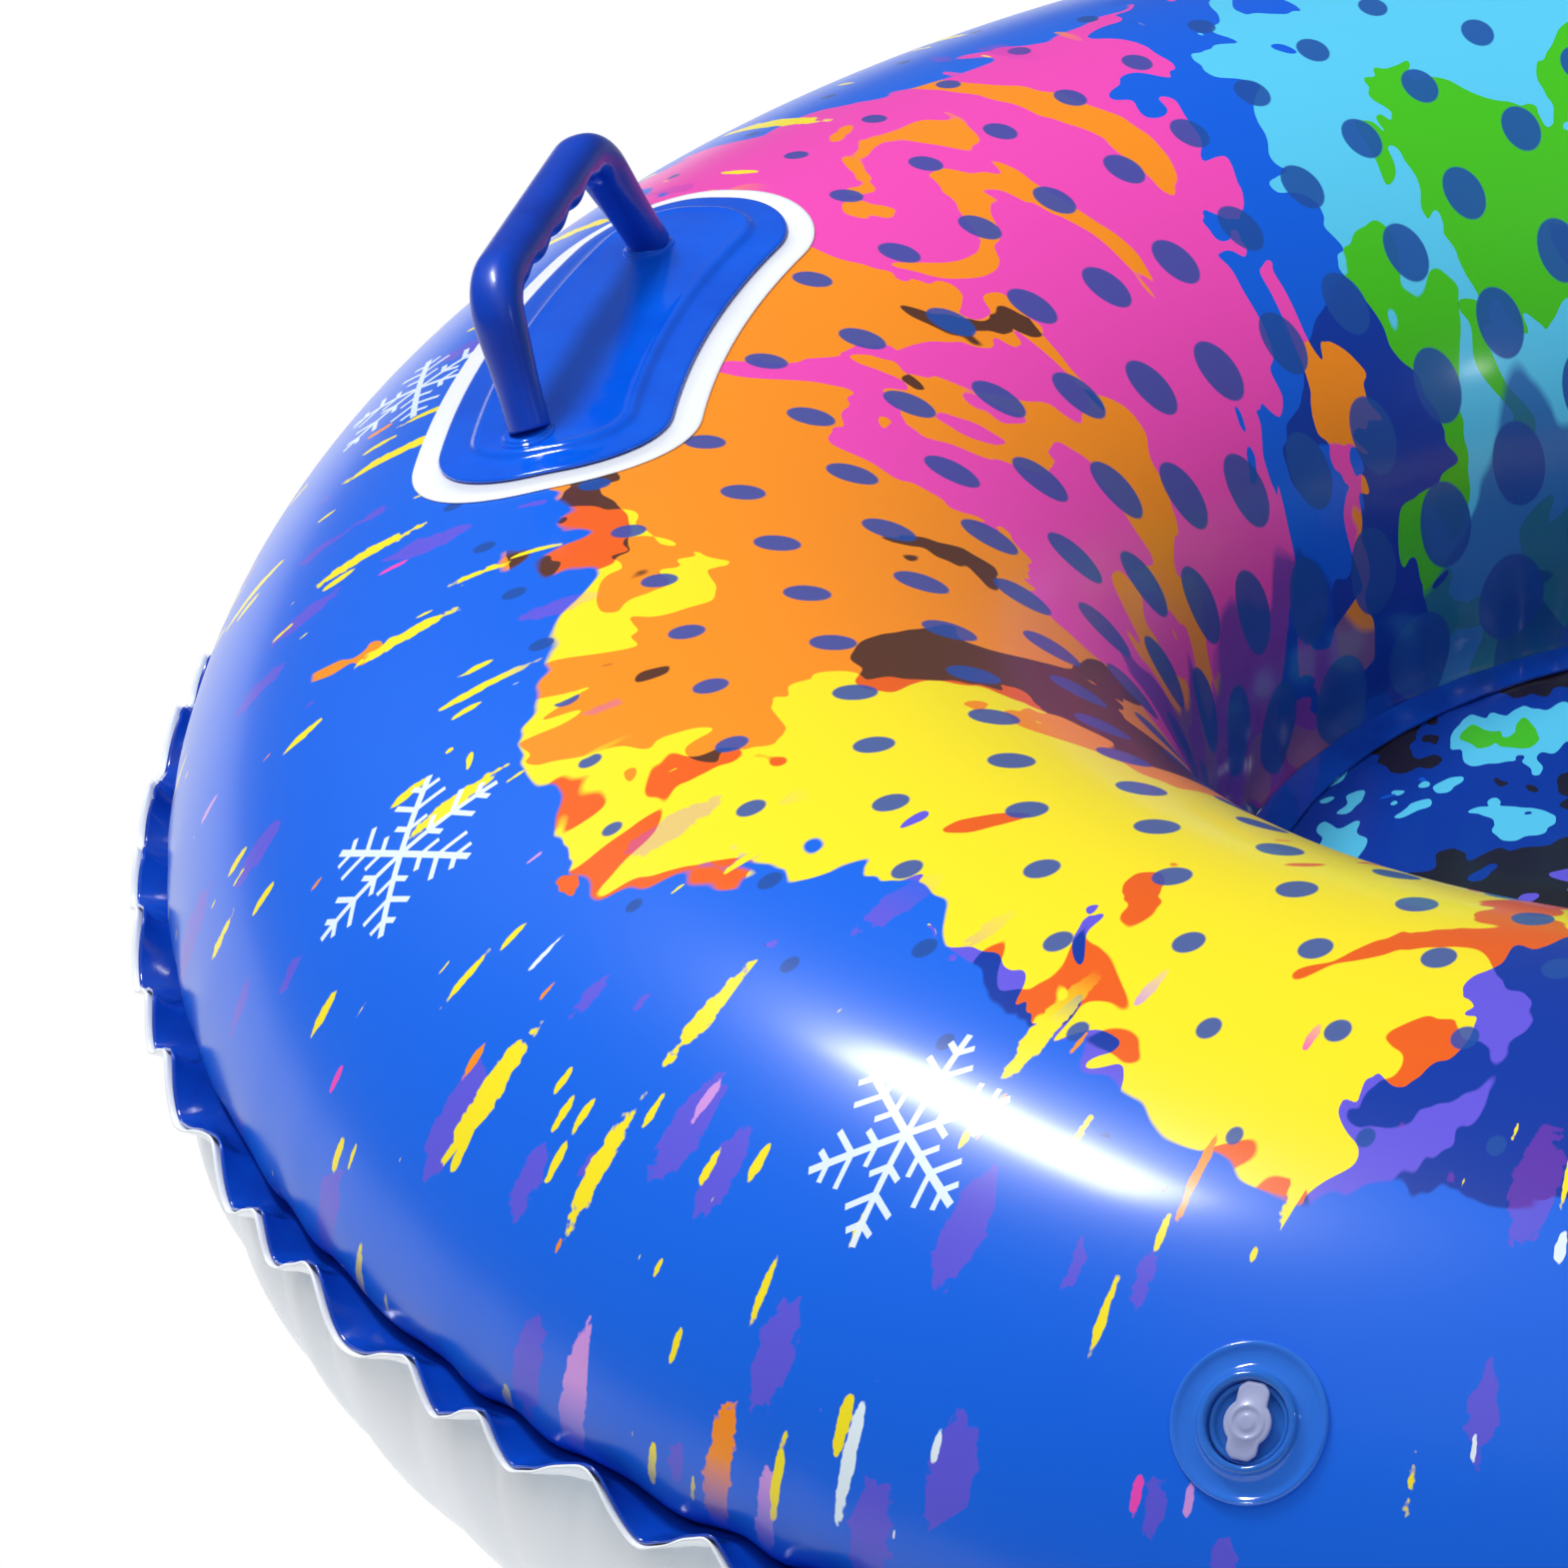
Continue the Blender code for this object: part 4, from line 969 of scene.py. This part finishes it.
# Floor and light
def make_floor():
    """A floor that the camera and clear surfaces see as white, and glossy ones too near the ring."""
    corners = [(x * STUDIO_REACH, y * STUDIO_REACH, 0) for x, y in ((-1, -1), (1, -1), (1, 1), (-1, 1))]
    mesh = bpy.data.meshes.new("studio_floor")
    mesh.from_pydata(corners, [], [(0, 1, 2, 3)])
    floor = bpy.data.objects.new("studio_floor", mesh)
    bpy.context.scene.collection.objects.link(floor)
    p = Paint("studio_floor_look", 0.8, (0.92, 0.92, 0.93))
    glow = p.node("Emission", {"Color": (1, 1, 1, 1), "Strength": 1.0})
    path = p.node("LightPath")
    distance = p.node("VectorMath", {0: p.object_space()}, operation="LENGTH").outputs["Value"]
    near = p.range(distance, *WHITE_GLOSS_REACH, 1.0, FAR_GLOSS_SHARE)
    near = p.math("MULTIPLY", path.outputs["Is Glossy Ray"], near)
    seen = p.math("MAXIMUM", path.outputs["Is Camera Ray"], near)
    seen = p.math("MAXIMUM", seen, path.outputs["Is Transmission Ray"])
    mix = p.node("MixShader", {0: seen, 1: p.shader.outputs[0], 2: glow.outputs[0]})
    p.feed(p.tree.nodes["Material Output"].inputs["Surface"], mix.outputs[0])
    mesh.materials.append(p.material)


def area_light(name, direction, distance, size, power, target=LAMP_TARGET, along=(0, 1, 0), in_gloss=True):
    """A lamp of size (length, width) that faces target, with its length as near as can be to along."""
    data = bpy.data.lights.new(name, "AREA")
    data.shape = "RECTANGLE"
    data.size, data.size_y = size
    data.energy = power
    lamp = bpy.data.objects.new(name, data)
    bpy.context.scene.collection.objects.link(lamp)
    way = Vector(direction).normalized()
    across = way.cross(Vector(along)).normalized()
    turn = Matrix((across.cross(way), across, way)).transposed().to_4x4()
    lamp.matrix_world = Matrix.Translation(Vector(target) + way * distance) @ turn
    lamp.visible_glossy = in_gloss


def make_light():
    """A dim studio with soft lamps that leave no reflection, a long key lamp and a small glint."""
    world = bpy.context.scene.world or bpy.data.worlds.new("studio")
    bpy.context.scene.world = world
    world.use_nodes = True
    back = world.node_tree.nodes["Background"]
    back.inputs["Color"].default_value = WORLD_COLOUR
    back.inputs["Strength"].default_value = WORLD_STRENGTH
    area_light("ceiling", (0.0, -0.35, 1.0), 3.2, (3.2, 3.2), 53, in_gloss=False)
    area_light("key", (-0.47, 0.16, 0.867), 2.4, (0.80, 0.22), 38, KEY_TARGET, KEY_ALONG)
    area_light("fill", (0.35, -0.75, 0.62), 3.2, (2.4, 1.6), 6, in_gloss=False)
    area_light("back_left", (-0.80, 0.40, 0.45), 3.0, (1.2, 1.2), 12, in_gloss=False)
    area_light("inner_glint", (0.825, -0.253, 0.505), 2.6, (0.16, 0.16), 2.0, GLINT_TARGET)


bpy.context.scene.view_settings.view_transform = "Standard"
make_camera()
make_floor()
make_light()

finishes = {
    "printed_vinyl": print_material(),
    "clear_vinyl": clear_sheet_material(),
    "blue_vinyl": plain_vinyl("blue_vinyl_look", MARGIN_COLOURS, 0.2, 1.0),
    "dark_blue_vinyl": plain_vinyl("dark_blue_vinyl_look", GRIP_COLOURS, 0.3, 0.2),
    "base_blue_vinyl": plain_vinyl("base_blue_vinyl_look", BASE_COLOURS, 0.1),
    "white_vinyl": plain_vinyl("white_vinyl_look", PATCH_COLOURS, 0.3),
    "valve_vinyl": see_through(plain_vinyl("valve_vinyl_look", VALVE_COLOURS, 0.08, 0.9), VALVE_OPACITY),
    "plug_vinyl": plain_vinyl("plug_vinyl_look", PLUG_COLOURS, 0.3),
}

pieces = [
    skin("upper_skin_look", "upper_skin", "printed_vinyl", INNER_SEAM_ANGLE, 150, 0.10, UPPER_FOLDS, 1),
    skin("lower_skin_look", "lower_skin", "clear_vinyl", UNDER_SEAM_ANGLE, 110, 0.11, LOWER_FOLDS, -1),
    outer_ply("outer_seam_upper_look", "outer_seam_upper_ply", 1, MARGIN_WIDTH, "blue_vinyl"),
    outer_ply("outer_seam_lower_look", "outer_seam_lower_ply", -1, MARGIN_WIDTH + WHITE_EDGE, "clear_vinyl"),
    valve_part("valve_flange_look", "valve_flange", FLANGE_PROFILE_MM, "tube", FLANGE_FLAT_RADIUS),
    valve_part("valve_stem_look", "valve_stem", STEM_PROFILE_MM, "valve_stem"),
    plug(),
]
for side, turn in (("right", 0.0), ("left", math.pi)):
    pieces += [patch(side, turn), base(side, turn), grip(side, turn)]
for piece in pieces:
    piece.data.materials.append(finishes[piece["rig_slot"]])
seat_floor().data.materials.append(floor_print_material())
for entry in frame["record"]["subparts"]:
    node = frame["nodes"][entry["node"]]
    for slot in node.material_slots:
        slot.material = finishes[entry["material_slot"]]
